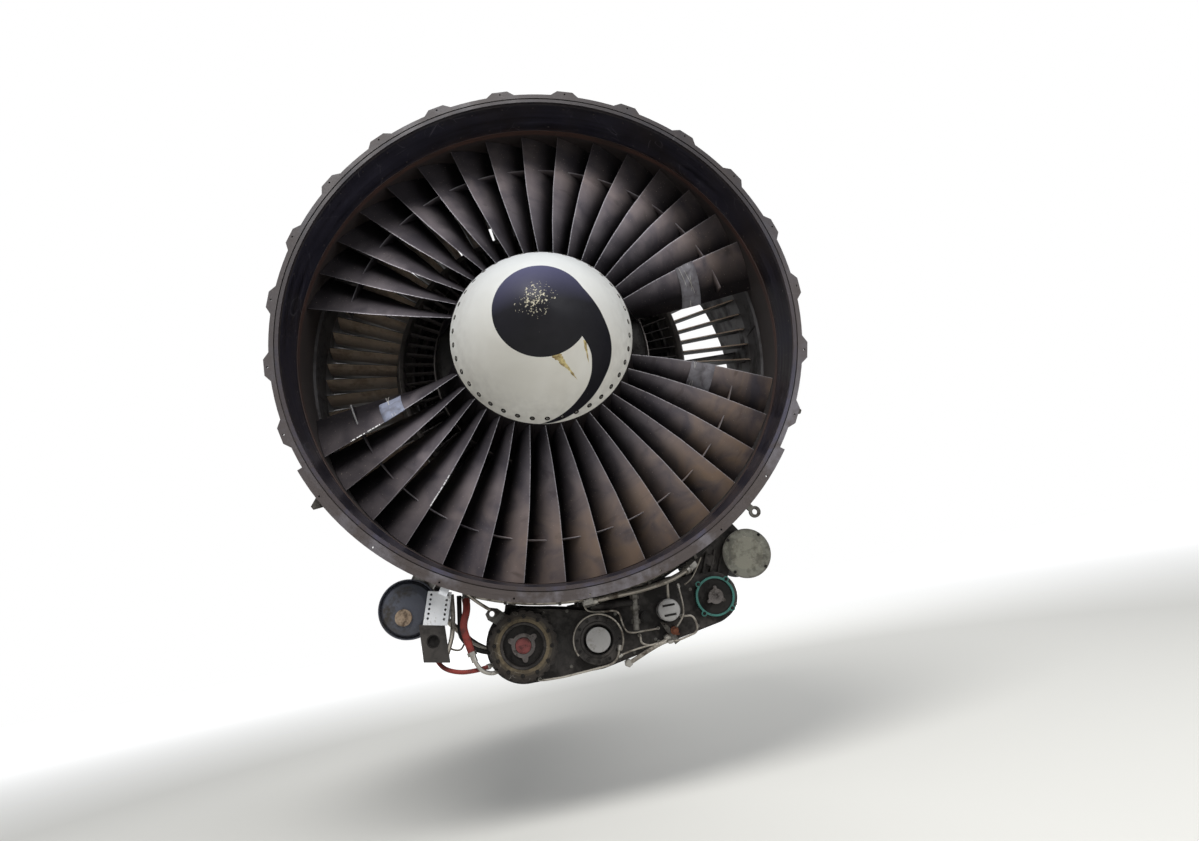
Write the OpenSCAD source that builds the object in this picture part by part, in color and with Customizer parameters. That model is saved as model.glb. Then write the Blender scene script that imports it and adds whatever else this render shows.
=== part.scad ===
// Large two-shaft turbofan engine with a high bypass ratio, bare of its cowls.
// The engine's axis is Y. Air enters at -Y, +Z is up, and the origin is the centre of the
// front face of the inlet flange. Clock angles run clockwise from the top, seen from the front.

/* [Fan] */
// Radius at the tips of the fan blades
fan_tip_r = 1097.5; // [1080:0.5:1110]
// Radial gap between the blade tips and the case
tip_gap = 3.5; // [2:0.5:6]
// Number of blade slots in the fan disk
blade_slots = 38; // [34:1:40]
// Clock angle of the first blade's leading edge at the tip
first_blade = 4.2; // [0:0.1:9]
// Number of the first empty slot on the right side
right_gap = 8; // [6:1:10]
// Number of the first empty slot on the left side
left_gap = 27; // [25:1:29]
// Number of blades taken out on each side
gap_blades = 3; // [1:1:5]
// Chord of a blade at its root
root_chord = 200; // [180:1:215]
// Chord of a blade at its tip
tip_chord = 250; // [200:1:270]
// Thickness of a blade at its root
root_thick = 15; // [10:0.5:18]
// Thickness of a blade at its tip
tip_thick = 5.5; // [4:0.5:8]
// Where the leading edge lies at the root, behind the inlet flange
root_le_y = 142; // [140:1:150]
// Where the leading edge lies at the tip
tip_le_y = 243; // [230:1:255]
// Radius of the mid-span shroud that links the blades
shroud_r = 912; // [860:1:940]
// Thickness of the mid-span shroud
shroud_t = 10; // [6:0.5:14]
// Width of the mid-span shroud along the axis
shroud_w = 74; // [50:1:90]
// Radius of the fan disk's rim
disk_r = 395; // [385:0.5:398]
// Length of the fan disk along the axis
disk_len = 190; // [160:1:200]
// Depth of a blade slot in the disk
slot_depth = 34; // [26:1:44]
// Width of a blade slot at its neck
slot_neck = 20; // [16:0.5:24]
// Width of a blade slot at its base
slot_base = 34; // [28:0.5:38]

/* [Spinner] */
// Radius of the spinner at its rear edge
spinner_r = 413; // [405:0.5:416]
// How far the spinner's nose stands ahead of the inlet flange
nose_y = 283; // [250:1:320]
// Where the spinner's rear edge lies behind the inlet flange
spinner_rear = 135; // [130:1:138]
// Thickness of the spinner's skin
spinner_wall = 4; // [3:0.5:6]
// Where the row of spinner bolts lies behind the inlet flange
bolt_row_y = 104; // [98:1:112]
// Radius of a spinner bolt's head
spinner_bolt_r = 6.5; // [5:0.25:8]

/* [Inlet flange] */
// Height of the circle of bolt holes above the fan case's plain wall
flange_bolt_h = 49; // [45:1:53]
// Number of bolt holes in the inlet flange
flange_holes = 24; // [24:12:48]
// Radius of each hole in the inlet flange
flange_hole_r = 4.25; // [3:0.25:6]
// Thickness of the inlet flange
flange_t = 14; // [11:1:18]
// How far the flange's edge lies inside the circle of bolt holes between the lobes
flange_edge_in = 8; // [7:0.5:11]
// How far the flange's lobes reach beyond the circle of bolt holes
flange_lobe_out = 15; // [11:0.5:20]
// Width of the lip between the air inlet and the bolting face
lip_width = 20; // [18:0.5:24]
// How much wider in radius the air inlet is at its lip than at the blades
lip_rise = 17; // [11:0.5:21]

/* [Fan cases] */
// Length of the front fan case
case_len = 620; // [580:1:640]
// Length of the case that holds the outlet guide vanes
vane_case_len = 260; // [230:1:280]
// Length of the fan frame
frame_len = 240; // [220:1:280]
// Wall of the plain fan cases
case_wall = 16; // [12:1:20]
// How far the flanges that join the fan cases stand out from the plain wall
case_flange_h = 43; // [34:1:50]
// Thickness of the flanges that join the fan cases
case_flange_t = 14; // [10:1:18]
// Thickness of the rub strip round the blade tips
strip_t = 7; // [5:0.5:9]
// Number of outlet guide vanes
guide_vanes = 80; // [60:1:84]
// Chord of an outlet guide vane
guide_chord = 150; // [120:1:170]
// Number of struts in the fan frame
frame_struts = 12; // [8:4:12]

/* [Core] */
// Radius of the splitter's lip
splitter_r = 712; // [700:1:725]
// Where the splitter's lip lies behind the inlet flange
splitter_y = 525; // [515:1:540]
// Radius of the duct's inner wall behind the splitter
duct_inner_r = 745; // [738:1:755]
// Length of the high-pressure compressor's case
compressor_len = 1000; // [960:1:1060]
// Length of the combustor's case
combustor_len = 440; // [420:1:480]
// Length of the high-pressure turbine's case
hpt_len = 260; // [250:1:280]
// Length of the turbine mid frame
mid_frame_len = 200; // [190:1:230]
// Length of the low-pressure turbine's case
lpt_len = 640; // [620:1:680]
// Length of the turbine rear frame
rear_frame_len = 260; // [240:1:290]
// Length of the exhaust plug
plug_len = 430; // [380:1:480]
// Wall of the core's cases
core_wall = 12; // [9:0.5:14]
// How far the core's flanges stand out from its cases
core_flange = 34; // [26:1:40]
// Number of stages in the high-pressure compressor
compressor_stages = 14; // [12:1:14]
// Number of fuel nozzles
fuel_nozzle_count = 30; // [24:6:30]

/* [Shafts] */
// Outer radius of the low-pressure shaft
low_shaft_r = 70; // [60:0.5:74]
// Wall of the low-pressure shaft
low_shaft_wall = 14; // [10:0.5:18]
// Outer radius of the high-pressure shaft
high_shaft_r = 105; // [100:0.5:110]
// Wall of the high-pressure shaft
high_shaft_wall = 14; // [10:0.5:16]
// Radial running clearance in the bearings
bearing_gap = 0.08; // [0.03:0.01:0.1]
// Radius of the radial drive shaft
drive_shaft_r = 14; // [11:0.5:17]

/* [Accessories] */
// Where the front face of the accessory gearbox lies
gearbox_y = 200; // [190:1:230]
// Depth of the accessory gearbox along the engine
gearbox_depth = 190; // [160:1:215]
// Gap between the fan case's thick band and the gearbox, which the hangers bridge
hanger_gap = 43; // [39:0.5:51]
// Radius of the largest drive pad
big_pad_r = 142; // [130:1:148]
// Radius of the middle drive pad
mid_pad_r = 101; // [90:1:106]
// Radius of the green-ringed drive pad
ring_pad_r = 84; // [76:1:92]
// Radius of the pale blanking cover
cover_r = 107; // [98:1:112]
// Radius of the oil tank
tank_r = 117; // [105:1:122]
// Length of the oil tank
tank_len = 520; // [450:5:560]
// Radius of the large bleed duct
bleed_duct_r = 55; // [45:1:60]

/* [Hidden] */
$fn = 72;

titanium = [0.33, 0.31, 0.32];
steel = [0.55, 0.54, 0.52];
dark_steel = [0.25, 0.24, 0.24];
magnesium = [0.2, 0.2, 0.2];
paint_white = [0.86, 0.85, 0.81];
composite = [0.12, 0.12, 0.15];
rub_brown = [0.3, 0.17, 0.13];
brass_red = [0.5, 0.12, 0.1];

// Gap that a seated piece keeps from a curved seat
seat = 0.3;
// Gap that a moving blade keeps from a fixed wall
row_gap = 3;

bore_r = fan_tip_r + tip_gap;
outer_r = bore_r + case_wall;
case_flange_r = outer_r + case_flange_h;
// Outer radius of the fan case's thick band
band_r = outer_r + 32;
flange_bolt_r = outer_r + flange_bolt_h;
flange_edge_r = flange_bolt_r - flange_edge_in;
flange_lobe_r = flange_bolt_r + flange_lobe_out;
lip_r = bore_r + lip_rise;
flange_face_r = lip_r + lip_width;
gearbox_r = band_r + hanger_gap;
vane_case_y = case_len;
frame_y = case_len + vane_case_len;
core_y = frame_y + frame_len;
combustor_y = core_y + compressor_len;
hpt_y = combustor_y + combustor_len;
mid_frame_y = hpt_y + hpt_len;
lpt_y = mid_frame_y + mid_frame_len;
rear_frame_y = lpt_y + lpt_len;
plug_y = rear_frame_y + rear_frame_len;

blade_pitch = 360 / blade_slots;
blade_missing = [for (n = [0:gap_blades - 1]) each [right_gap + n, left_gap + n]];
blades = [for (n = [0:blade_slots - 1]) if (len(search(n, blade_missing)) == 0) n];
disk_y = 150;
disk_rear = disk_y + disk_len;
// Clock angle from a blade's leading edge at the tip to its stacking line
stack_angle = tip_chord * sin(60) / fan_tip_r * 90 / PI;

platform_t = 6;
platform_front = [root_le_y - 4, spinner_r + 3];
platform_rear = [390, 505];
inner_ring_r = 530;
inner_ring_y = 480;
inner_ring_t = 12;
vane_hub_r = inner_ring_r + inner_ring_t;

compressor_in_r = 372;
compressor_out_r = 335;
drum_in_r = 262;
drum_out_r = 316;
core_lip_r = 385;
hot_tip_r = 398;
hot_hub_r = 330;
mid_outer_r = 455;
lpt_in_r = 490;
lpt_out_r = 626;
lpt_hub_r = 350;

// Turns a profile of [y, r] points about the engine's axis
module spun(profile) {
    rotate([-90, 0, 0]) rotate_extrude() polygon([for (p = profile) [p[1], p[0]]]);
}

// A plain ring between two radii
module hoop(y, length, r_in, r_out) {
    spun([[y, r_in], [y, r_out], [y + length, r_out], [y + length, r_in]]);
}

// A wall of even thickness inside a line of [y, r] points
module shell(line, wall) {
    n = len(line) - 1;
    spun(concat(line, [for (i = [n:-1:0]) [line[i][0], line[i][1] - wall]]));
}

// A flat plate at the top that stands along the axis, from its [y, z] outline
module web(t, outline) {
    translate([-t / 2, 0, 0]) rotate([90, 0, 90]) linear_extrude(t) polygon(outline);
}

// A cylinder along the engine's axis
module drum(y, length, r) {
    translate([0, y, 0]) rotate([-90, 0, 0]) cylinder(h = length, r = r);
}

// Turns what lies at the top to a clock angle
module clock(angle) {
    rotate([0, angle, 0]) children();
}

// Repeats what lies at the top round the axis
module around(count, first = 0) {
    for (i = [0:count - 1]) clock(first + i * 360 / count) children();
}

// A row of plain blades or vanes, each set at an angle to the axis
module row(y, chord, r_in, r_out, count, turn, t = 4) {
    around(count)
        translate([0, y, r_in])
            rotate([0, 0, turn])
                translate([-t / 2, -chord / 2, 0]) cube([t, chord, r_out - r_in]);
}

function unit(v) = v / norm(v);

// A route's corners rounded by short curves
function rounded_route(p, r, n) = [
    p[0],
    for (i = [1:len(p) - 2])
        let (a = p[i] + min(r, norm(p[i - 1] - p[i]) / 2.1) * unit(p[i - 1] - p[i]),
             b = p[i] + min(r, norm(p[i + 1] - p[i]) / 2.1) * unit(p[i + 1] - p[i]))
            for (k = [0:n])
                let (t = k / n) a * (1 - t) * (1 - t) + 2 * p[i] * t * (1 - t) + b * t * t,
    p[len(p) - 1]];

// A pipe of round section that follows a route
module pipe(route, r, bend = 60, sides = 8) {
    p = rounded_route(route, bend, 3);
    last = len(p) - 1;
    tangent = [for (i = [0:last]) unit(p[min(i + 1, last)] - p[max(i - 1, 0)])];
    start = unit(cross(tangent[0], abs(tangent[0].z) < 0.9 ? [0, 0, 1] : [1, 0, 0]));
    normal = [for (i = 0, n = start; i <= last; i = i + 1,
        n = i <= last ? unit(n - (n * tangent[i]) * tangent[i]) : n) n];
    points = [for (i = [0:last], k = [0:sides - 1])
        let (a = 360 * k / sides)
            p[i] + r * (cos(a) * normal[i] + sin(a) * cross(tangent[i], normal[i]))];
    skin = [for (i = [0:last - 1], k = [0:sides - 1])
        let (a = i * sides + k, b = i * sides + (k + 1) % sides)
            each [[a, b + sides, b], [a, a + sides, b + sides]]];
    ends = [[for (k = [0:sides - 1]) k],
            [for (k = [sides - 1:-1:0]) last * sides + k]];
    polyhedron(points, concat(skin, ends));
}

// Fan blades
function stagger(t) = lookup(t, [[0, 9], [0.25, 27], [0.55, 44], [1, 60]]);
function blade_chord(t) = root_chord + (tip_chord - root_chord) * t;
function blade_thick(t) = tip_thick + (root_thick - tip_thick) * pow(1 - t, 1.3);
function blade_camber(t) = 0.11 - 0.085 * t;
function blade_le(t) = root_le_y + (tip_le_y - root_le_y) * pow(t, 1.3);
// Outline stations along the chord with the share of the full thickness at each
blade_side = [[0.22, 0.84], [0.62, 0.84]];

// One outline point of a blade section, as [along the rim, along the axis]
function section_point(t, x, h) =
    let (c = blade_chord(t), g = stagger(t),
         off = 4 * blade_camber(t) * x * (1 - x) * c + h * blade_thick(t) / 2)
        [(x - 0.5) * c * sin(g) + off * cos(g),
         blade_le(t) + x * c * cos(g) - off * sin(g)];

function section(t) = concat(
    [section_point(t, 0, 0.12)],
    [for (s = blade_side) section_point(t, s[0], s[1])],
    [section_point(t, 1, 0.12), section_point(t, 1, -0.12)],
    [for (i = [len(blade_side) - 1:-1:0]) section_point(t, blade_side[i][0], -blade_side[i][1])],
    [section_point(t, 0, -0.12)]);

airfoil_root_r = 400;
airfoil_steps = 6;

// The twisted blade between the disk and the case, wrapped on cylinders about the axis
module airfoil() {
    span = fan_tip_r - airfoil_root_r;
    count = len(section(0));
    points = [for (i = [0:airfoil_steps])
        let (t = i / airfoil_steps, r = airfoil_root_r + span * t)
            for (q = section(t))
                let (a = q[0] / r * 180 / PI) [r * sin(a), q[1], r * cos(a)]];
    skin = [for (i = [0:airfoil_steps - 1], k = [0:count - 1])
        let (a = i * count + k, b = i * count + (k + 1) % count)
            each [[a, b + count, b], [a, a + count, b + count]]];
    ends = [[for (k = [0:count - 1]) k],
            [for (k = [count - 1:-1:0]) airfoil_steps * count + k]];
    polyhedron(points, concat(skin, ends));
}

// A sector of a turned profile, one blade pitch wide and centred on the top
module pitch_sector(profile, gap) {
    width = blade_pitch - gap;
    rotate([-90, 0, 0]) rotate(-90 - width / 2)
        rotate_extrude(angle = width) polygon([for (p = profile) [p[1], p[0]]]);
}

shroud_y = 247;

module blade_shroud() {
    edge = shroud_t * 0.8;
    pitch_sector([
        [shroud_y, shroud_r], [shroud_y + edge, shroud_r + shroud_t / 2],
        [shroud_y + shroud_w - edge, shroud_r + shroud_t / 2], [shroud_y + shroud_w, shroud_r],
        [shroud_y + shroud_w - edge, shroud_r - shroud_t / 2],
        [shroud_y + edge, shroud_r - shroud_t / 2]], 0.04);
}

module blade_platform() {
    pitch_sector([
        platform_front, platform_rear,
        platform_rear - [0, platform_t], platform_front - [0, platform_t]], 0.12);
}

// The dovetail's outline, wider by a clearance for the slot
module dovetail(clear) {
    neck = slot_neck / 2 + clear;
    base = slot_base / 2 + clear;
    depth = slot_depth + clear;
    polygon([[-neck, 8], [neck, 8], [neck, -8], [base, -depth], [-base, -depth], [-neck, -8]]);
}

module blade_root() {
    shank_y = disk_y + 8;
    shank_rear = disk_rear - 8;
    slope = (platform_rear[1] - platform_front[1]) / (platform_rear[0] - platform_front[0]);
    top = function(y) platform_front[1] - platform_t / 2 + slope * (y - platform_front[0]);
    translate([0, disk_rear, disk_r]) rotate([90, 0, 0])
        linear_extrude(disk_len) dovetail(0);
    translate([-slot_neck / 2, 0, 0]) rotate([90, 0, 90]) linear_extrude(slot_neck)
        polygon([[shank_y, disk_r - 2], [shank_rear, disk_r - 2],
            [shank_rear, top(shank_rear)], [shank_y, top(shank_y)]]);
}

module fan_blade() {
    airfoil();
    blade_shroud();
    blade_platform();
    blade_root();
}

module fan_blades() color(titanium)
    for (n = blades)
        clock(first_blade + stack_angle + n * blade_pitch) fan_blade();

module fan_disk() color(dark_steel)
    difference() {
        spun([[disk_y, disk_r - 75], [disk_y, disk_r], [disk_rear, disk_r],
            [disk_rear, disk_r - 75], [disk_rear - 42, disk_r - 90], [disk_rear - 62, 240],
            [disk_rear - 40, 200], [disk_rear, 190], [disk_rear, 130], [disk_y + 40, 130],
            [disk_y + 40, 190], [disk_y + 62, 240], [disk_y + 42, disk_r - 90]]);
        for (n = [0:blade_slots - 1])
            clock(first_blade + stack_angle + n * blade_pitch)
                translate([0, disk_rear + 1, disk_r]) rotate([90, 0, 0])
                    linear_extrude(disk_len + 2) dovetail(0.2);
    }

// Spinner
// The dome's outline is a part of a curve between an ellipse and a parabola
function dome(u) = pow(1 - pow(1 - 0.453 * u, 1.6), 1 / 1.6);
function spinner_at(y) = spinner_r * dome((y + nose_y) / (spinner_rear + nose_y)) / dome(1);
spinner_steps = 14;
nose_flat_r = 3;
spinner_line = [for (i = [0:spinner_steps])
    let (t = pow(i / spinner_steps, 2), y = -nose_y + (spinner_rear + nose_y) * t)
        [y, max(spinner_at(y), nose_flat_r)]];
bolt_slope = atan((spinner_at(bolt_row_y + 1) - spinner_at(bolt_row_y - 1)) / 2);
bolt_pitch_r = spinner_at(bolt_row_y);
bolt_seat = 0.3;

// Puts what points up at the place of each spinner bolt, square to the skin
module at_spinner_bolts() {
    around(blade_slots, 290.28 - 360)
        translate([0, bolt_row_y, bolt_pitch_r]) rotate([bolt_slope, 0, 0]) children();
}

module spinner() {
    back = [spinner_rear, spinner_r - spinner_wall];
    inner = [for (i = [spinner_steps:-1:1])
        [spinner_line[i][0] + (i < spinner_steps ? spinner_wall / 2 : 0),
         max(spinner_line[i][1] - spinner_wall, 0)]];
    color(paint_white) spun(concat([[-nose_y, 0]], spinner_line, inner,
        [[-nose_y + spinner_wall, nose_flat_r], [-nose_y + spinner_wall, 0]]));
    color(dark_steel)
        spun([[86, spinner_at(86) - spinner_wall - 4], [132, spinner_at(132) - spinner_wall - 2],
            [disk_y, disk_r], [disk_y, 300], [disk_y - 9, 300], [disk_y - 9, disk_r - 20],
            [124, spinner_at(124) - 22], [86, spinner_at(86) - 24]]);
    color(steel) at_spinner_bolts()
        translate([0, 0, bolt_seat]) cylinder(h = 3, r = spinner_bolt_r);
}

// Low-pressure rotor: fan shaft, booster and turbine
function booster_tip(y) = 690 - (y - 600) * 0.35;
function booster_hub(y) = vane_hub_r - (y - 600) * 0.16;
function lpt_tip(y) = lpt_in_r + (y - lpt_y) * (lpt_out_r - lpt_in_r) / lpt_len;

booster_rows = [625, 715, 800];
fan_shaft_r = 130;
fan_shaft_end = frame_y + 60;
bearing_1_y = disk_rear + 130;
bearing_2_y = frame_y - 70;
bearing_len = 50;
bearing_seat = 14;

module booster_rotor() {
    hub = [for (y = [604, 645, 700, 740, 785, 825]) [y, booster_hub(y)]];
    difference() {
        union() {
            spun(concat(
                [[disk_rear, disk_r - 30], [disk_rear, disk_r + 3], [disk_rear + 20, disk_r + 3],
                 [platform_rear[0] - 6, platform_rear[1] - 16],
                 [platform_rear[0] + 4, platform_rear[1] - 2], [inner_ring_y - 6, inner_ring_r - 2],
                 [inner_ring_y - 6, inner_ring_r - 18], [600, vane_hub_r - 26]],
                hub, [for (i = [len(hub) - 1:-1:0]) [hub[i][0], hub[i][1] - 26]],
                [[590, vane_hub_r - 50], [inner_ring_y - 20, inner_ring_r - 40],
                 [disk_rear + 24, disk_r - 30]]));
            for (y = booster_rows)
                row(y, 34, booster_hub(y) - 8, booster_tip(y + 17) - row_gap, 24, -38, 5);
        }
    }
}

lpt_rows = [for (i = [0:3]) lpt_y + lpt_len * (0.11 + 0.235 * i)];
lpt_row_chord = 46;

module lpt_rotor() {
    hub_front = lpt_rows[0] - 34;
    hub_rear = lpt_rows[3] + 34;
    web_y = lpt_rows[1] + 40;
    union() {
        spun([[hub_front, lpt_hub_r - 12], [hub_front, lpt_hub_r], [hub_rear, lpt_hub_r + 8],
            [hub_rear, lpt_hub_r - 6], [web_y + 90, lpt_hub_r - 16], [web_y + 130, 130],
            [web_y + 150, 110], [web_y + 150, low_shaft_r + 0.2], [web_y + 20, low_shaft_r + 0.2],
            [web_y + 20, 110], [web_y + 60, 130], [web_y + 30, lpt_hub_r - 16]]);
        for (y = lpt_rows)
            row(y, lpt_row_chord, lpt_hub_r - 8, lpt_tip(y - 23) - row_gap, 22, 34, 5);
    }
}

module low_rotor() color(dark_steel) {
    booster_rotor();
    lpt_rotor();
}

module low_shaft() color(steel) {
    rear = rear_frame_y + 130;
    seat_r = fan_shaft_r + bearing_seat;
    difference() {
        spun([[disk_rear, 190], [disk_rear + 16, 190], [disk_rear + 40, 150],
            [disk_rear + 90, fan_shaft_r], [bearing_1_y - 10, fan_shaft_r],
            [bearing_1_y - 10, seat_r], [bearing_1_y + bearing_len + 10, seat_r],
            [bearing_1_y + bearing_len + 10, fan_shaft_r], [bearing_2_y - 10, fan_shaft_r],
            [bearing_2_y - 10, seat_r], [bearing_2_y + bearing_len + 10, seat_r],
            [bearing_2_y + bearing_len + 10, fan_shaft_r], [fan_shaft_end, fan_shaft_r],
            [fan_shaft_end, low_shaft_r], [rear, low_shaft_r], [rear, 0], [disk_rear, 0]]);
        drum(disk_rear - 1, rear, low_shaft_r - low_shaft_wall);
        hoop(disk_rear - 1, fan_shaft_end - disk_rear - 60, 0, fan_shaft_r - 20);
    }
}

// High-pressure rotor: compressor drum, shaft and turbine
compressor_y = core_y + 40;
compressor_rear = combustor_y - 20;
stage_pitch = (compressor_rear - compressor_y - 30) / compressor_stages;
function along_compressor(y) = (y - compressor_y) / (compressor_rear - compressor_y);
function compressor_tip(y) =
    compressor_in_r + (compressor_out_r - compressor_in_r) * along_compressor(y);
function compressor_hub(y) =
    drum_in_r + (drum_out_r - drum_in_r) * pow(along_compressor(y), 0.7);
rotor_rows = [for (i = [0:compressor_stages - 1]) compressor_y + 26 + stage_pitch * i];
function row_chord(i) = 38 - 14 * i / compressor_stages;

bevel_y = core_y - 96;
high_front = bevel_y - 14;
high_bearing_y = core_y - 30;
bevel_ring_r = 134;
high_rear_bearing_y = mid_frame_y + 60;
turbine_rows = [hpt_y + 108, hpt_y + 208];

module compressor_drum() {
    steps = [for (i = [0:7]) compressor_y + (compressor_rear - compressor_y) * i / 7];
    line = [for (y = steps) [y, compressor_hub(y)]];
    shell(line, 14);
    for (i = [1:2:compressor_stages - 1])
        spun([[rotor_rows[i] - 4, compressor_hub(rotor_rows[i]) - 6],
            [rotor_rows[i] + 4, compressor_hub(rotor_rows[i]) - 6], [rotor_rows[i] + 4, 150],
            [rotor_rows[i] + 12, 140], [rotor_rows[i] + 12, high_shaft_r + 20],
            [rotor_rows[i] - 12, high_shaft_r + 20], [rotor_rows[i] - 12, 140],
            [rotor_rows[i] - 4, 150]]);
}

module high_rotor() color(steel) {
    inner = high_shaft_r - high_shaft_wall;
    shaft_rear = high_rear_bearing_y + bearing_len + 20;
    compressor_drum();
    for (i = [0:compressor_stages - 1])
        row(rotor_rows[i], row_chord(i), compressor_hub(rotor_rows[i]) - 7,
            compressor_tip(rotor_rows[i] + row_chord(i) / 2) - row_gap, 12, -42, 4);
    spun([[compressor_y, drum_in_r], [compressor_y, drum_in_r - 14], [compressor_y + 12, 130],
        [core_y + 8, high_shaft_r], [high_front, high_shaft_r], [high_front, inner], [compressor_y + 30, inner],
        [compressor_y + 26, 130], [compressor_y + 14, drum_in_r]]);
    spun([[compressor_rear - 14, drum_out_r - 3], [compressor_rear, drum_out_r - 3],
        [compressor_rear, drum_out_r - 20], [compressor_rear + 40, 180],
        [compressor_rear + 90, high_shaft_r], [hpt_y + 60, high_shaft_r], [hpt_y + 84, 150],
        [hpt_y + 84, hot_hub_r], [hpt_y + 132, hot_hub_r], [hpt_y + 132, 200],
        [hpt_y + 184, 200], [hpt_y + 184, hot_hub_r], [hpt_y + 232, hot_hub_r],
        [hpt_y + 232, 150], [mid_frame_y + 20, high_shaft_r], [shaft_rear, high_shaft_r],
        [shaft_rear, inner], [compressor_rear + 90, inner], [compressor_rear + 28, 170],
        [compressor_rear - 14, drum_out_r - 24]]);
    for (y = turbine_rows) row(y, 36, hot_hub_r - 8, hot_tip_r - row_gap, 24, 36, 6);
    spun([[bevel_y + 14, high_shaft_r - 1], [bevel_y + 30, bevel_ring_r],
        [bevel_y + 36, bevel_ring_r], [bevel_y + 36, high_shaft_r - 1]]);
}

// Fan cases
strip_y = 200;
strip_len = 220;
liner_y = 24;
liner_t = 6;
// How far the lobes lie inside the flange's two faces
lobe_inset = 0.5;

module flange_lobes() {
    top = 1.75;
    base = 3.3;
    lobe_span = 360 / flange_holes;
    for (i = [0:flange_holes - 1])
        if (i * lobe_span < 125 || i * lobe_span > 250)
            clock(i * lobe_span) translate([0, flange_t - lobe_inset, 0]) rotate([90, 0, 0])
                linear_extrude(flange_t - 2 * lobe_inset) polygon([
                    [-flange_lobe_r * sin(top), flange_lobe_r * cos(top)],
                    [flange_lobe_r * sin(top), flange_lobe_r * cos(top)],
                    [flange_edge_r * sin(base), flange_edge_r * cos(base) - 1],
                    [flange_edge_r * sin(base), flange_edge_r * cos(base) - 10],
                    [-flange_edge_r * sin(base), flange_edge_r * cos(base) - 10],
                    [-flange_edge_r * sin(base), flange_edge_r * cos(base) - 1]]);
}

// The unbroken band of the inlet flange along the bottom
module flange_band() {
    first = 128;
    last = 247;
    rotate([-90, 0, 0]) rotate(first - 90)
        rotate_extrude(angle = last - first, $fn = 180)
            translate([flange_edge_r - 4, lobe_inset])
                square([flange_lobe_r - flange_edge_r + 3, flange_t - 2 * lobe_inset]);
}

module fan_case() color(composite) {
    thick = band_r;
    step = 6;
    difference() {
        union() {
            spun([[0, flange_face_r], [0, flange_edge_r], [flange_t, flange_edge_r],
                [flange_t, outer_r + 16], [92, outer_r + 16], [92, thick], [108, thick],
                [108, outer_r + 16], [150, outer_r + 16], [166, thick], [456, thick],
                [472, outer_r + 12], [case_len - case_flange_t, outer_r + 12],
                [case_len - case_flange_t, case_flange_r], [case_len, case_flange_r],
                [case_len, bore_r], [strip_y + strip_len, bore_r],
                [strip_y + strip_len, bore_r + strip_t], [strip_y, bore_r + strip_t],
                [strip_y, bore_r + 2], [strip_y - 4, bore_r + 2],
                [strip_y - 4, bore_r + 2 + liner_t], [liner_y, lip_r + liner_t],
                [liner_y, lip_r], [2, lip_r], [2, flange_face_r - 4], [step + 2, flange_face_r - 4],
                [step + 2, flange_face_r]]);
            flange_lobes();
            flange_band();
        }
        around(flange_holes) translate([0, -1, flange_bolt_r]) rotate([-90, 0, 0])
            cylinder(h = flange_t + 2, r = flange_hole_r);
    }
}

module inlet_liner() color(composite)
    spun([[liner_y + seat, lip_r], [strip_y - 4 - seat, bore_r + 2],
        [strip_y - 4 - seat, bore_r + 2 + liner_t - seat], [liner_y + seat, lip_r + liner_t - seat]]);

module rub_strip() color(rub_brown)
    hoop(strip_y + seat, strip_len - 2 * seat, bore_r, bore_r + strip_t - seat);

// A fan duct case with a flange at each end
module duct_case(y, length) {
    spun([[y, bore_r], [y, case_flange_r], [y + case_flange_t, case_flange_r],
        [y + case_flange_t, outer_r], [y + length - case_flange_t, outer_r],
        [y + length - case_flange_t, case_flange_r], [y + length, case_flange_r],
        [y + length, bore_r]]);
}

module vane_case() color(dark_steel) {
    duct_case(vane_case_y, vane_case_len);
    hoop(vane_case_y + vane_case_len / 2 - 8, 16, outer_r - 2, outer_r + 22);
}

guide_y = vane_case_y + 25;
guide_t = 11;
// How far a guide vane's trailing edge is turned away from the axis
guide_turn = 12;

// An arched vane section with its leading edge at the origin
module arched_section(chord, t, rise) {
    stations = [0, 0.2, 0.6, 1];
    function half(x) = t / 2 * pow(4 * max(x, 0.03) * max(1 - x, 0.03), 0.6);
    polygon(concat(
        [for (x = stations) [4 * rise * x * (1 - x) + half(x), chord * x]],
        [for (i = [3:-1:0]) let (x = stations[i]) [4 * rise * x * (1 - x) - half(x), chord * x]]));
}

module outlet_guide_vanes() color(titanium)
    around(guide_vanes, 2.2)
        translate([0, guide_y, duct_inner_r + seat])
            rotate([0, 0, guide_turn])
                linear_extrude(bore_r - duct_inner_r - 3 * seat)
                    arched_section(guide_chord, guide_t, -10);

// Fan frame
drive_bore_r = drive_shaft_r + 8;

// A strut of the frame with rounded edges, from one radius to another
module frame_strut(y, chord, t, r_in, r_out) {
    translate([0, y, r_in]) linear_extrude(r_out - r_in)
        polygon([[-t / 8, 0], [-t / 2, chord * 0.22], [-t / 2, chord * 0.7], [-t / 6, chord],
            [t / 6, chord], [t / 2, chord * 0.7], [t / 2, chord * 0.22], [t / 8, 0]]);
}

hub_bore_r = 190;
// Outer and inner walls of the duct that leads from the booster to the compressor
neck_outer = [[frame_y, 592], [frame_y + frame_len / 2, 520], [core_y, core_lip_r]];
neck_inner = [[frame_y, 497], [frame_y + frame_len / 2, 400], [core_y, drum_in_r]];

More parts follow.
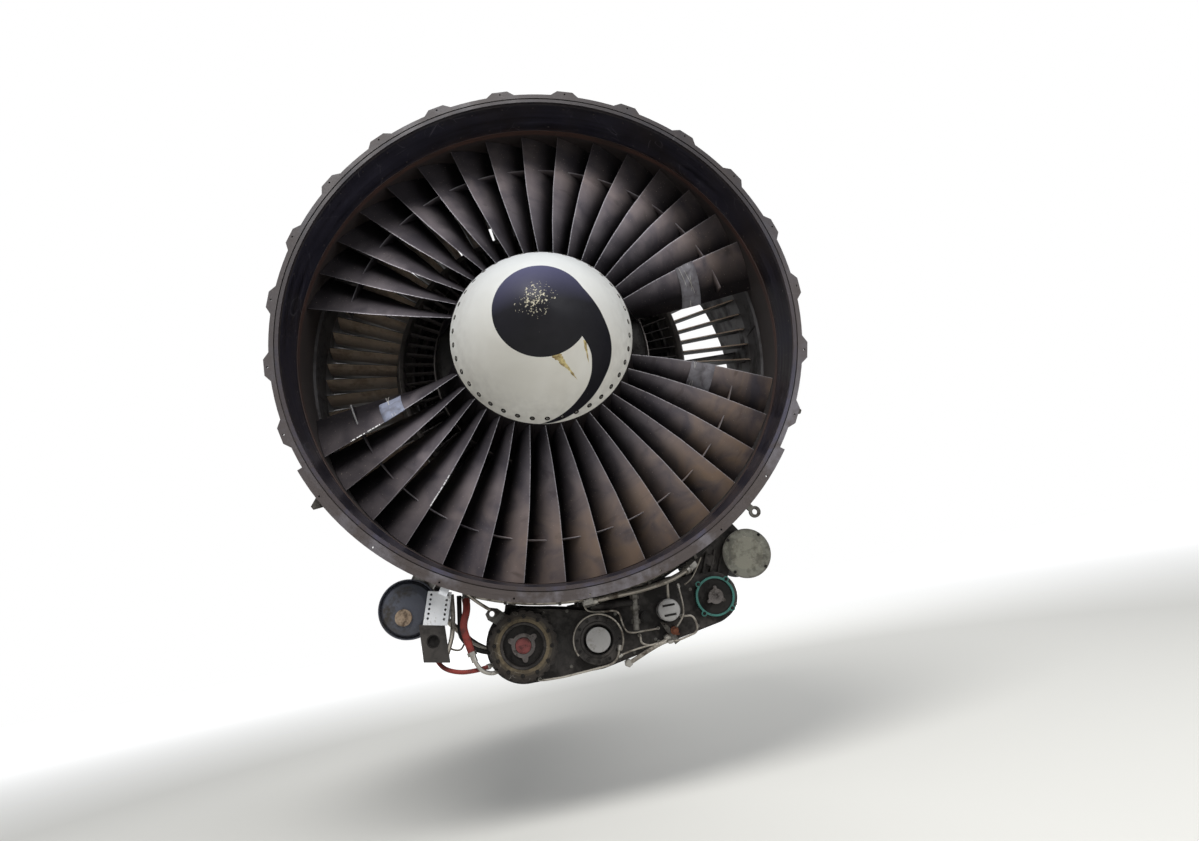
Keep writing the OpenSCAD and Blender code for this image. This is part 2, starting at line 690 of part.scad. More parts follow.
module fan_frame() color(dark_steel)
    difference() {
        union() {
            duct_case(frame_y, frame_len);
            spun(concat([[frame_y, duct_inner_r], [core_y, duct_inner_r - 10]],
                [for (i = [2:-1:0]) neck_outer[i]]));
            spun(concat(neck_inner, [[core_y, hub_bore_r + 30], [core_y - 16, hub_bore_r + 30],
                [core_y - 16, drum_in_r - 34], [frame_y + frame_len / 2, 340],
                [frame_y + 16, 440], [frame_y + 16, hub_bore_r], [frame_y, hub_bore_r]]));
            around(frame_struts)
                frame_strut(frame_y + 24, 190, 26, duct_inner_r - 14, bore_r + 6);
            frame_strut(frame_y + 14, 210, 66, duct_inner_r - 14, bore_r + 6);
            clock(180) frame_strut(frame_y + 14, 210, 66, duct_inner_r - 14, bore_r + 6);
            around(frame_struts)
                frame_strut(frame_y + 30, 160, 22, 330, 560);
            clock(180) frame_strut(core_y - 152, 150, 60, 250, 540);
        }
        spun([[frame_y + 16, duct_inner_r - 14], [core_y - 14, duct_inner_r - 24],
            [core_y - 14, core_lip_r + 42], [frame_y + frame_len / 2 + 6, 540],
            [frame_y + 16, 612]]);
        around(frame_struts, 15)
            translate([-45, core_y - 20, 500]) cube([90, 30, 130]);
        translate([0, bevel_y, -bore_r - 80]) cylinder(h = bore_r, r = drive_bore_r);
    }

// Booster's case and splitter
booster_end = frame_y;

module booster_case() color(dark_steel)
    spun([[splitter_y, splitter_r], [splitter_y + 40, splitter_r + 15],
        [guide_y - 10, duct_inner_r], [booster_end, duct_inner_r], [booster_end, 592],
        [booster_end - 20, 592], [booster_end - 20, duct_inner_r - 8], [guide_y, duct_inner_r - 8],
        [splitter_y + 72, booster_tip(600) + 12], [booster_end - 30, booster_tip(booster_end - 30) + 12],
        [booster_end - 30, booster_tip(booster_end - 30)],
        [600, booster_tip(600)], [splitter_y + 18, splitter_r - 14]]);

core_vane_y = splitter_y + 30;

module core_inlet_vanes() color(magnesium)
    union() {
        spun([[inner_ring_y, inner_ring_r], [inner_ring_y, inner_ring_r + 5],
            [core_vane_y, vane_hub_r], [598, vane_hub_r], [598, vane_hub_r - 12],
            [core_vane_y, vane_hub_r - 12]]);
        around(guide_vanes, 1.2)
            translate([0, core_vane_y + 6, vane_hub_r - 4])
                rotate([0, 0, 10])
                    linear_extrude(booster_tip(600) - vane_hub_r + 4)
                        arched_section(36, 5, -3);
    }

// Bearings and what holds them
module front_sump() color(magnesium)
    difference() {
        union() {
            spun([[bearing_1_y, 215], [bearing_1_y, 235], [bearing_1_y + 60, 240],
                [frame_y - 20, 300], [frame_y - 16, 430], [frame_y, 430], [frame_y, 300],
                [bearing_2_y + bearing_len + 20, 215], [bearing_2_y + bearing_len + 20, 196],
                [bearing_2_y, 196], [bearing_2_y, 240], [bearing_1_y + 60, 222],
                [bearing_1_y + 60, 215]]);
            hoop(bearing_1_y, bearing_len, 196, 220);
        }
        around(18) translate([0, frame_y - 30, 380]) rotate([-90, 0, 0]) cylinder(h = 40, r = 12);
    }

// A rolling bearing: outer race, and rollers held in their cage
module rolling_bearing(y, r_in, r_out) {
    race = 12;
    roller_r = (r_out - race - r_in - bearing_gap * 2) / 2;
    pitch_r = r_in + bearing_gap + roller_r;
    count = floor(PI * pitch_r / roller_r * 0.68);
    hoop(y, bearing_len, r_out - race, r_out);
    union() {
        hoop(y + 14, 4, pitch_r - roller_r / 3, pitch_r + roller_r / 3);
        hoop(y + bearing_len - 18, 4, pitch_r - roller_r / 3, pitch_r + roller_r / 3);
        around(count) translate([0, y + 8, pitch_r]) rotate([-90, 0, 0])
            cylinder(h = bearing_len - 16, r = roller_r);
    }
}

module fan_ball_bearing() color(steel)
    rolling_bearing(bearing_1_y, fan_shaft_r + bearing_seat, 196 - bearing_gap);

module fan_roller_bearing() color(steel)
    rolling_bearing(bearing_2_y, fan_shaft_r + bearing_seat, 196 - bearing_gap);

module compressor_bearing() color(steel) {
    rolling_bearing(high_bearing_y - 22, high_shaft_r, 158);
    spun([[high_bearing_y - 22, 158 + bearing_gap], [high_bearing_y - 22, 172],
        [core_y - 18, 172], [core_y - 16, hub_bore_r + 30 - seat],
        [core_y, hub_bore_r + 30 - seat], [core_y, hub_bore_r + 16], [core_y - 8, 172],
        [core_y - 2, 172], [core_y - 2, 158 + bearing_gap]]);
}

module high_turbine_bearing() color(steel)
    rolling_bearing(high_rear_bearing_y, high_shaft_r, 150);

low_bearing_y = rear_frame_y + 60;

module low_turbine_bearing() color(steel)
    rolling_bearing(low_bearing_y, low_shaft_r, 112);

// Compressor's case and its variable vanes
// A core case with a flange at each end, from its outer line of [y, r] points
module core_case(line, inner) {
    n = len(line) - 1;
    front = line[0];
    rear = line[n];
    spun(concat(
        [[front[0], inner[0][1]], [front[0], front[1] + core_flange],
         [front[0] + 12, front[1] + core_flange], [front[0] + 12, front[1]]],
        n > 1 ? [for (i = [1:n - 1]) line[i]] : [],
        [[rear[0] - 12, rear[1]], [rear[0] - 12, rear[1] + core_flange],
         [rear[0], rear[1] + core_flange]],
        [for (i = [len(inner) - 1:-1:1]) inner[i]]));
}

compressor_front_r = compressor_in_r + core_wall + 2;
compressor_rear_r = compressor_out_r + core_wall + 2;
variable_rows = [for (i = [0:6]) compressor_y + 26 + stage_pitch * (i - 0.5)];
levers_per_row = 14;
boss_top = 14;
split_rise = 18;
function case_at(y) = y < compressor_y
    ? compressor_front_r + (core_lip_r - compressor_in_r - 2) * (compressor_y - y)
        / (compressor_y - core_y - 12)
    : compressor_front_r + (compressor_rear_r - compressor_front_r)
        * (y - compressor_y) / (combustor_y - compressor_y);

module compressor_case() color(steel)
    union() {
        core_case([[core_y, core_lip_r + core_wall], [compressor_y, compressor_front_r],
            [combustor_y, compressor_rear_r]],
            [[core_y, core_lip_r], [compressor_y, compressor_in_r],
             [combustor_y, compressor_out_r]]);
        for (side = [90, 270])
            clock(side) web(28, [[core_y + 12, compressor_front_r - 6],
                [core_y + 12, compressor_front_r + split_rise],
                [combustor_y - 12, compressor_rear_r + split_rise],
                [combustor_y - 12, compressor_rear_r - 6]]);
        let (y = core_y + compressor_len * 0.52) hoop(y, 12, case_at(y + 12) - 6, case_at(y) + 20);
    }

booster_vane_rows = [670, 757, 836];

// A row of vanes that hang from a ring just inside a case, given the ring's two outer radii
module vane_ring(y, chord, r_front, r_rear, hub, count, turn, t) {
    low = min(r_front, r_rear);
    depth = abs(r_front - r_rear) + 1;
    spun([[y - chord / 2, r_front], [y + chord / 2, r_rear], [y + chord / 2, r_rear - depth],
        [y - chord / 2, r_front - depth]]);
    row(y, chord * 0.9, hub, low - 0.8, count, turn, t);
}

module compressor_vanes() color(steel) {
    for (y = booster_vane_rows)
        union() vane_ring(y, 28, booster_tip(y - 14) - seat, booster_tip(y + 14) - seat,
            booster_hub(y) + row_gap, 24, 30, 4);
    for (i = [0:compressor_stages - 1])
        let (y = rotor_rows[i] + stage_pitch / 2, c = row_chord(i) * 0.6, r = compressor_tip(y))
            if (i < compressor_stages - 1) union() {
                spun([[y - c / 2, compressor_tip(y - c / 2) - seat],
                    [y + c / 2, compressor_tip(y + c / 2) - seat],
                    [y + c / 2, compressor_tip(y + c / 2) - 2.6],
                    [y - c / 2, compressor_tip(y - c / 2) - 2.6]]);
                row(y, c * 0.9, compressor_hub(y + c / 2) + row_gap, r - 1.6, 10, 36, 3);
            }
}

lever_len = 46;
// Inner radius of a unison ring, just clear of its levers
function ring_inner(y) = case_at(y - 9) + boss_top + 8 + 2 * seat;

module unison_rings() color(steel)
    for (y = variable_rows)
        hoop(y + lever_len - 7, 14, ring_inner(y), ring_inner(y) + 16);

module vane_levers() color(steel)
    for (y = variable_rows)
        around(levers_per_row)
            translate([0, y, case_at(y - 9) + seat]) union() {
                cylinder(h = boss_top + 9, r = 8);
                translate([-5, 0, boss_top + 4]) cube([10, lever_len, 4]);
            }

module vane_actuators() color(dark_steel)
    for (side = [64, 296])
        clock(side) {
            r = ring_inner(compressor_y) + 16 + 42;
            translate([0, variable_rows[0], r]) {
                rotate([-90, 0, 0]) cylinder(h = 210, r = 26);
                translate([0, 210, 0]) rotate([-90, 0, 0]) cylinder(h = 90, r = 10);
                translate([-14, 296, -14]) cube([28, 44, 28]);
            }
            foot_y = variable_rows[0] + 62;
            translate([-20, foot_y, case_at(foot_y) + seat])
                cube([40, 26, r - 15 - case_at(foot_y) - seat]);
            for (y = variable_rows)
                let (foot = ring_inner(y) + 16 + seat)
                    translate([-9, y + lever_len - 6, foot]) cube([18, 12, r - 18 - foot]);
            translate([-12, variable_rows[0] + 30, r - 34])
                cube([24, variable_rows[6] - variable_rows[0] + 30, 14]);
        }

manifold_y = core_y + compressor_len * 0.66;
manifold_r = 74;

module bleed_manifold() color(steel)
    difference() {
        spun([[manifold_y, case_at(manifold_y) + seat], [manifold_y, case_at(manifold_y) + 34],
            [manifold_y + 24, case_at(manifold_y) + manifold_r],
            [manifold_y + 120, case_at(manifold_y) + manifold_r],
            [manifold_y + 144, case_at(manifold_y) + 34],
            [manifold_y + 144, case_at(manifold_y + 144) + seat]]);
        for (side = [90, 270])
            clock(side) translate([-16, manifold_y - 1, case_at(manifold_y) - 60])
                cube([32, 146, 60 + split_rise + seat]);
        spun([[manifold_y + 8, case_at(manifold_y) - 1], [manifold_y + 8, case_at(manifold_y) + 30],
            [manifold_y + 28, case_at(manifold_y) + manifold_r - 5],
            [manifold_y + 116, case_at(manifold_y) + manifold_r - 5],
            [manifold_y + 136, case_at(manifold_y) + 30],
            [manifold_y + 136, case_at(manifold_y + 144) - 1]]);
    }

module bleed_duct() color(steel) {
    mid = manifold_y + 72;
    base = case_at(manifold_y) + manifold_r + seat;
    lean = [sin(29), cos(29)];
    top = base + 250;
    for (side = [1, -1])
        union() {
            pipe([[side * base * lean[0], mid, base * lean[1]],
                [side * (base + 150) * lean[0], mid, (base + 150) * lean[1]],
                [side * 250, mid - 190, top - 60], [side * 130, core_y + 340, top],
                [side * 130, core_y + 220, top]], bleed_duct_r, 110, 12);
            translate([side * 130, core_y + 206, top]) rotate([-90, 0, 0])
                cylinder(h = 16, r = bleed_duct_r + 16);
        }
}

// Combustor
nozzle_y = combustor_y + 130;
nozzle_top = 528;
liner_outer_r = 436;
liner_inner_r = 250;
combustor_r = 484;
inner_case_r = 214;

module combustor_case() color(steel)
    difference() {
        union() {
            spun([[combustor_y, compressor_out_r], [combustor_y, compressor_rear_r + core_flange],
                [combustor_y + 12, compressor_rear_r + core_flange],
                [combustor_y + 12, compressor_rear_r], [combustor_y + 70, 436],
                [combustor_y + 110, combustor_r], [hpt_y - 12, combustor_r],
                [hpt_y - 12, combustor_r + core_flange], [hpt_y, combustor_r + core_flange],
                [hpt_y, combustor_r - 10], [combustor_y + 114, combustor_r - 10],
                [combustor_y + 76, 424], [combustor_y + 20, compressor_out_r]]);
            spun([[combustor_y, drum_out_r + 4], [combustor_y, drum_out_r - 8],
                [combustor_y + 90, inner_case_r], [hpt_y - 10, inner_case_r],
                [hpt_y - 10, hot_hub_r - 42], [hpt_y, hot_hub_r - 42], [hpt_y, inner_case_r - 8],
                [combustor_y + 86, inner_case_r - 8], [combustor_y + 8, drum_out_r - 22],
                [combustor_y, drum_out_r - 22]]);
            around(10) web(8, [for (q = [[2, 300], [2, 338], [30, 362], [60, 404],
                [66, 404], [66, 236]]) [combustor_y + q[0], q[1]]]);
            for (side = [100, 200]) clock(side) translate([0, nozzle_y + 90, combustor_r - 8])
                cylinder(h = 22, r = 20);
        }
        around(fuel_nozzle_count) translate([0, nozzle_y, combustor_r - 30])
            cylinder(h = 60, r = 13);
        for (side = [100, 200]) clock(side) translate([0, nozzle_y + 90, combustor_r - 30])
            cylinder(h = 60, r = 10);
    }

module combustor_liner() color(dark_steel)
    difference() {
        spun([[nozzle_y + 36, liner_inner_r + 40], [nozzle_y + 30, 330], [nozzle_y + 30, 356],
            [nozzle_y + 36, liner_outer_r - 40], [nozzle_y + 70, liner_outer_r],
            [hpt_y - 60, liner_outer_r], [hpt_y + 23 - seat, hot_tip_r + 10],
            [hpt_y + 23 - seat, hot_tip_r + 4],
            [hpt_y - 62, liner_outer_r - 6], [nozzle_y + 74, liner_outer_r - 6],
            [nozzle_y + 44, liner_outer_r - 44], [nozzle_y + 44, liner_inner_r + 44],
            [nozzle_y + 74, liner_inner_r + 6], [hpt_y - 62, liner_inner_r + 6],
            [hpt_y + 16 - seat, hot_hub_r - 4], [hpt_y + 16 - seat, hot_hub_r - 10],
            [hpt_y - 60, liner_inner_r], [nozzle_y + 70, liner_inner_r]]);
        around(fuel_nozzle_count) translate([0, nozzle_y + 20, 343]) rotate([-90, 0, 0])
            cylinder(h = 40, r = 16);
    }

module fuel_nozzles() color(steel)
    around(fuel_nozzle_count) {
        translate([0, nozzle_y, 0]) union() {
            rotate_extrude() polygon([[0, 340], [8, 340], [8, combustor_r + 1],
                [20, combustor_r + 1], [20, combustor_r + 9], [10, combustor_r + 12],
                [10, nozzle_top], [0, nozzle_top]]);
            translate([0, -14, 343]) rotate([-90, 0, 0]) cylinder(h = 50, r = 12);
        }
    }

manifold_tube_r = 10;
manifold_ring_r = nozzle_top + seat + manifold_tube_r;

module fuel_manifold() color(steel)
    translate([0, nozzle_y, 0]) rotate([-90, 0, 0]) rotate_extrude()
        translate([manifold_ring_r, 0]) circle(r = manifold_tube_r);

module igniters() color(steel)
    for (side = [100, 200]) clock(side) translate([0, nozzle_y + 90, combustor_r + 14]) union() {
        cylinder(h = 12, r = 17, $fn = 6);
        cylinder(h = 60, r = 9);
        translate([0, 0, liner_outer_r - combustor_r - 10])
            cylinder(h = combustor_r - liner_outer_r + 12, r = 8);
    }

// Turbines
module high_turbine_case() color(steel)
    spun([[hpt_y, combustor_r - 30], [hpt_y, combustor_r + core_flange],
        [hpt_y + 12, combustor_r + core_flange], [hpt_y + 12, mid_outer_r + core_wall],
        [mid_frame_y - 12, mid_outer_r + core_wall],
        [mid_frame_y - 12, mid_outer_r + core_wall + core_flange],
        [mid_frame_y, mid_outer_r + core_wall + core_flange], [mid_frame_y, mid_outer_r - 2],
        [mid_frame_y - 14, mid_outer_r - 2], [mid_frame_y - 20, hot_tip_r],
        [hpt_y + 186, hot_tip_r], [hpt_y + 180, hot_tip_r + 20], [hpt_y + 138, hot_tip_r + 20],
        [hpt_y + 134, hot_tip_r], [hpt_y + 84, hot_tip_r], [hpt_y + 80, hot_tip_r + 20],
        [hpt_y + 22, hot_tip_r + 20], [hpt_y + 18, combustor_r - 30]]);

module turbine_nozzles() color(dark_steel) {
    union() {
        hoop(hpt_y + 23, 56, hot_tip_r, hot_tip_r + 20 - seat);
        hoop(hpt_y + 16, 60, hot_hub_r - 12, hot_hub_r);
        row(hpt_y + 48, 40, hot_hub_r - 4, hot_tip_r + 4, 20, -40, 7);
    }
    union() {
        hoop(hpt_y + 139, 40, hot_tip_r, hot_tip_r + 20 - seat);
        row(hpt_y + 158, 34, 212, hot_tip_r + 4, 20, -36, 6);
        hoop(hpt_y + 138, 38, 206, 214);
        hoop(hpt_y + 138, 40, hot_hub_r, hot_hub_r + 6);
    }
    for (i = [0:3])
        let (y = lpt_rows[i] - lpt_len * 0.085)
            union() vane_ring(y, 28, lpt_tip(y - 14) - seat, lpt_tip(y + 14) - seat,
                lpt_hub_r + 8 + row_gap, 20, -34, 5);
}

mid_struts = 8;

module turbine_mid_frame() color(steel)
    union() {
        core_case([[mid_frame_y, mid_outer_r + core_wall], [lpt_y, lpt_in_r + core_wall]],
            [[mid_frame_y, mid_outer_r], [lpt_y, lpt_in_r]]);
        shell([[mid_frame_y + 6, hot_hub_r + 8], [lpt_y - 4, lpt_hub_r]], 10);
        around(mid_struts)
            frame_strut(mid_frame_y + 24, 150, 36, hot_hub_r + 4, mid_outer_r + 8);
        spun([[high_rear_bearing_y, 150 + bearing_gap], [high_rear_bearing_y, 168],
            [mid_frame_y + 80, 190], [mid_frame_y + 100, hot_hub_r + 6],
            [mid_frame_y + 112, hot_hub_r + 6], [mid_frame_y + 104, 180],
            [high_rear_bearing_y + bearing_len, 164], [high_rear_bearing_y + bearing_len, 150 + bearing_gap]]);
    }

module low_turbine_case() color(steel)
    core_case([[lpt_y, lpt_in_r + core_wall], [rear_frame_y, lpt_out_r + core_wall]],
        [[lpt_y, lpt_in_r], [rear_frame_y, lpt_out_r]]);

module cooling_tubes() color(steel)
    for (i = [0:4])
        let (y = lpt_y + 50 + i * 130)
            translate([0, y, 0]) rotate([-90, 0, 0]) rotate_extrude()
                translate([lpt_tip(y) + core_wall + 14 + 12 * 0.22 + 0.5, 0]) circle(r = 12);

rear_struts = 14;

module turbine_rear_frame() color(steel)
    union() {
        core_case([[rear_frame_y, lpt_out_r + core_wall], [plug_y, lpt_out_r + core_wall]],
            [[rear_frame_y, lpt_out_r], [plug_y, lpt_out_r]]);
        shell([[rear_frame_y + 10, lpt_hub_r + 10], [plug_y, lpt_hub_r - 10]], 12);
        around(rear_struts)
            frame_strut(rear_frame_y + 40, 170, 26, lpt_hub_r - 6, lpt_out_r + 6);
        spun([[low_bearing_y, 112 + bearing_gap], [low_bearing_y, 130], [low_bearing_y + 20, 140],
            [rear_frame_y + 150, lpt_hub_r - 8], [rear_frame_y + 162, lpt_hub_r - 8],
            [low_bearing_y + bearing_len, 132], [low_bearing_y + bearing_len, 112 + bearing_gap]]);
    }

module exhaust_plug() color(dark_steel) {
    steps = 8;
    base = lpt_hub_r - 10;
    line = [for (i = [0:steps]) let (t = i / steps)
        [plug_y + plug_len * sin(90 * t), base * (0.06 + 0.94 * cos(90 * t))]];
    spun(concat(line, [[plug_y + plug_len, 0], [plug_y + plug_len - 6, 0]],
        [for (i = [steps:-1:0]) [line[i][0] - (i > 0 ? 6 : 0), max(line[i][1] - 5, 4)]]));
}

// Accessory gearbox and what is on it
// Places of the gearbox's parts seen from the front, as [x, z]
big_pad = [-301, -1318];
mid_pad = [8, -1353];
filter_place = [322, -1290];
ring_pad = [534, -1272];
cover_place = [716, -1120];
tank_place = [-741, -1087];
lug_place = [767, -956];
drive_place = [0, -1262];

gearbox_rear = gearbox_y + gearbox_depth;
hanger_angles = [158, 169, 181, 196];

// A cylinder along the engine that starts at a place seen from the front
module stub(place, y, length, r) {
    translate([place[0], y, place[1]]) rotate([-90, 0, 0]) cylinder(h = length, r = r);
}

// Places a row of things on a circle round a pad
module round_pad(place, y, r, count, first = 0) {
    for (i = [0:count - 1])
        translate([place[0] + r * sin(first + i * 360 / count), y,
            place[1] + r * cos(first + i * 360 / count)]) rotate([-90, 0, 0]) children();
}

// The gearbox's outline seen from the front, as a plane figure with y for z
module gearbox_outline(grow = 0) {
    difference() {
        union() {
            hull() {
                translate(big_pad) circle(r = big_pad_r + 8 + grow);
                translate(mid_pad) circle(r = mid_pad_r + 14 + grow);
            }
            hull() {
                translate(mid_pad) circle(r = mid_pad_r + 14 + grow);
                translate(filter_place) circle(r = 122 + grow);
            }
            hull() {
                translate(filter_place) circle(r = 122 + grow);
                translate(ring_pad) circle(r = ring_pad_r + 20 + grow);
            }
        }
        circle(r = gearbox_r);
    }
}

module accessory_gearbox() color(magnesium)
    difference() {
        union() {
            translate([0, gearbox_rear, 0]) rotate([90, 0, 0])
                linear_extrude(gearbox_depth) gearbox_outline();
            translate([0, gearbox_y + gearbox_depth * 0.56, 0]) rotate([90, 0, 0])
                linear_extrude(16) gearbox_outline(14);
            for (angle = hanger_angles)
                clock(angle) translate([-26, gearbox_y + 54, gearbox_r]) cube([52, 82, 98]);
        }
        stub(drive_place, gearbox_rear - 40, 41, drive_shaft_r + bearing_gap);
    }

module gearbox_hangers() color(steel)
    for (angle = hanger_angles)
        clock(angle) {
            case_r = band_r;
            difference() {
                translate([-16, gearbox_y + 60, case_r + seat]) cube([32, 70, gearbox_r - case_r - 2 * seat]);
                translate([-20, gearbox_y + 80, case_r + 12]) cube([40, 30, gearbox_r - case_r - 24]);
            }
        }

module drive_pads() color(dark_steel) {
    difference() {
        union() {
            stub(big_pad, gearbox_y - 46, 46, big_pad_r - 22);
            difference() {
                stub(big_pad, gearbox_y - 62, 22, big_pad_r);
                round_pad(big_pad, gearbox_y - 63, big_pad_r + 3, 24) cylinder(h = 24, r = 9);
            }
        }
        stub(big_pad, gearbox_y - 63, 40, 82);
    }
    difference() {
        stub(mid_pad, gearbox_y - 40, 40, mid_pad_r);
        stub(mid_pad, gearbox_y - 41, 30, 61);
    }
    difference() {
        union() {
            stub(ring_pad, gearbox_y - 34, 34, ring_pad_r);
            for (a = [45, 135, 225, 315])
                stub([ring_pad[0] + (ring_pad_r + 3) * sin(a), ring_pad[1] + (ring_pad_r + 3) * cos(a)],
                    gearbox_y - 34, 12, 12);
        }
        stub(ring_pad, gearbox_y - 35, 24, ring_pad_r - 9);
    }
    stub(filter_place, gearbox_y - 70, 70, 46);
}

module pad_covers() {
    color(magnesium) difference() {
        stub(big_pad, gearbox_y - 40, 17, 81.5);
        stub(big_pad, gearbox_y - 41, 10, 33);
    }
    color(brass_red) stub(big_pad, gearbox_y - 48, 17, 32);
    color(steel) stub(mid_pad, gearbox_y - 52, 41, 51);
    color(magnesium) stub(ring_pad, gearbox_y - 27, 16, ring_pad_r - 9.5);
    color(steel) stub(ring_pad, gearbox_y - 40, 13, 28);
    color(steel) difference() {
        stub(cover_place, gearbox_y - 12, 12, cover_r);
        round_pad(cover_place, gearbox_y - 13, cover_r - 9, 4, 45) cylinder(h = 14, r = 4);
    }
    color(magnesium) stub(cover_place, gearbox_y, 210, cover_r - 12);
    color(magnesium) difference() {
        clock(147.4) translate([-60, gearbox_y + 50, band_r + seat]) cube([120, 90, 90]);
        stub(cover_place, gearbox_y, 210, cover_r - 12);
    }
}

module starter() color(steel)
    union() {
        stub(big_pad, gearbox_rear, 30, 100);
        stub(big_pad, gearbox_rear + 29, 190, 84);
        stub(big_pad, gearbox_rear + 218, 36, 60);
        translate([big_pad[0], gearbox_rear + 130, big_pad[1] - 60]) rotate([180, 0, 0])
            cylinder(h = 80, r = 42);
    }

pump_place = [190, -1330];
oil_pump_place = [360, -1290];

module fuel_pump() color(steel)
    union() {
        stub(pump_place, gearbox_rear, 24, 84);
        stub(pump_place, gearbox_rear + 23, 120, 70);
        translate([pump_place[0] - 20, gearbox_rear + 50, pump_place[1] - 118]) cube([40, 60, 60]);
    }

control_y = gearbox_rear + 143;
// From the power lever's pivot to the hole at its end
lever_reach = 92;

module fuel_control() color(magnesium)
    difference() {
        union() {
            translate([pump_place[0] - 72, control_y, pump_place[1] - 74]) cube([144, 170, 148]);
            stub([pump_place[0] - 30, pump_place[1] - 20], control_y + 169, 50, 38);
            translate([pump_place[0] + 71, control_y + 90, pump_place[1]]) rotate([0, 90, 0])
                cylinder(h = 22, r = 22);
        }
        translate([pump_place[0] + 60, control_y + 90, pump_place[1]]) rotate([0, 90, 0])
            cylinder(h = 40, r = 8 + bearing_gap);
    }

module power_lever() color(steel)
    translate([pump_place[0] + 61, control_y + 90, pump_place[1]]) union() {
        rotate([0, 90, 0]) cylinder(h = 40, r = 8);
        translate([32.5, 0, 0]) rotate([0, 90, 0]) cylinder(h = 8, r = 16);
        difference() {
            union() {
                translate([32.5, -8, 0]) cube([8, 16, lever_reach]);
                translate([32.5, 0, lever_reach]) rotate([0, 90, 0]) cylinder(h = 8, r = 12);
            }
            translate([30, 0, lever_reach]) rotate([0, 90, 0]) cylinder(h = 14, r = 5);
        }
    }

module oil_pump() color(dark_steel)
    union() {
        stub([oil_pump_place[0] + 20, oil_pump_place[1]], gearbox_rear, 26, 66);
        stub([oil_pump_place[0] + 20, oil_pump_place[1]], gearbox_rear + 25, 130, 56);
        stub([oil_pump_place[0] + 20, oil_pump_place[1]], gearbox_rear + 154, 18, 64);
    }

module hydraulic_pump() color(steel)
    union() {
        stub(ring_pad, gearbox_rear, 26, 74);
        stub(ring_pad, gearbox_rear + 25, 150, 58);
        stub(ring_pad, gearbox_rear + 174, 40, 40);
    }

tank_y = 130;

module oil_tank() color(steel)
    union() {
        translate([tank_place[0], tank_y, tank_place[1]]) rotate([-90, 0, 0]) rotate_extrude()
            polygon([[0, 0], [tank_r - 44, 0], [tank_r - 14, 8], [tank_r, 26],
                [tank_r, tank_len - 26], [tank_r - 14, tank_len - 8], [tank_r - 44, tank_len],
                [0, tank_len]]);
        stub([tank_place[0] - 20, tank_place[1] - 30], tank_y - 14, 16, 34);
    }

module tank_straps() color(steel)
    for (y = [tank_y + 40, tank_y + 280])
        difference() {
            union() {
                stub(tank_place, y, 28, tank_r + 6);
                clock(atan2(tank_place[0], tank_place[1]))
                    translate([-50, y, band_r + seat]) cube([100, 28, 100]);
            }
            stub(tank_place, y - 1, 30, tank_r + seat);
        }

// A flat plate square to the axis, from its outline of [x, z] points
module plate(y, t, outline) {
    translate([0, y + t, 0]) rotate([90, 0, 0]) linear_extrude(t) polygon(outline);
}

plate_y = 98;
plate_t = 4;
// Corners of the perforated plate, the two upper ones first
plate_corners = [[-646, -1030], [-552, -1052], [-588, -1180], [-684, -1160]];
box_corners = [[-700, -1156], [-600, -1180], [-598, -1325], [-700, -1305]];
box_depth = tank_y - 14 - seat - plate_y;
hole_pitch = 19;

module front_brackets() color(steel) {
    down = unit(plate_corners[3] - plate_corners[0]);
    across = plate_corners[1] - plate_corners[0];
    difference() {
        union() {
            plate(plate_y, plate_t, plate_corners);
            clock(210) translate([-46, flange_t + seat, band_r + 55])
                cube([36, plate_y + plate_t - flange_t - seat, 4]);
            clock(210) translate([-46, flange_t + seat, flange_edge_r - 8])
                cube([36, 5, band_r + 59 - flange_edge_r + 8]);
            difference() {
                plate(plate_y + 1, box_depth, box_corners);
                plate(plate_y + 5, box_depth, [for (p = box_corners) p + 4 * unit([-649, -1241] - p)]);
            }
        }
        for (i = [0:5], share = [0.16, 0.84]) {
            place = plate_corners[0] + (14 + i * hole_pitch) * down + share * across;
            stub(place, plate_y - 1, plate_t + 2, 5);
        }
        stub([-652, -1231], plate_y - 1, plate_t + 4, 22);
    }
    clock(atan2(lug_place[0], lug_place[1])) difference() {
        union() {
            translate([-14, 94, band_r + seat]) cube([28, 12, norm(lug_place) - band_r]);
            translate([0, 94, norm(lug_place)]) rotate([-90, 0, 0]) cylinder(h = 12, r = 25);
        }
        translate([0, 93, norm(lug_place)]) rotate([-90, 0, 0]) cylinder(h = 14, r = 12);
    }
    for (lug = [[239.6, 1222], [118.3, 1200]])
        clock(lug[0]) plate(40, 8, [[-48, outer_r + 16 + seat], [48, outer_r + 16 + seat],
            [8, lug[1]], [-8, lug[1]]]);
}

// Drive from the compressor's shaft to the gearbox
module transfer_gearbox() color(magnesium)
    difference() {
        union() {
            translate([-80, bevel_y - 90, drive_place[1] - 66]) cube([160, 170, 150 - 20]);
            translate([0, bevel_y, drive_place[1]])
                cylinder(h = -drive_place[1] - outer_r - seat, r = 40);
            stub(drive_place, bevel_y - 120, 40, 40);
        }
        translate([0, bevel_y, drive_place[1] + 26])
            cylinder(h = 300, r = drive_shaft_r + bearing_gap);
        stub(drive_place, bevel_y - 121, 121 - drive_shaft_r - 6, drive_shaft_r + bearing_gap);
    }

module drive_shaft_tube() color(steel)
    difference() {
        union() {
            stub(drive_place, gearbox_rear, bevel_y - 120 - gearbox_rear, drive_shaft_r + 12);
            stub(drive_place, gearbox_rear, 14, drive_shaft_r + 34);
            stub(drive_place, bevel_y - 134, 14, drive_shaft_r + 26);
        }
        stub(drive_place, gearbox_rear - 1, bevel_y, drive_shaft_r + 6);
    }

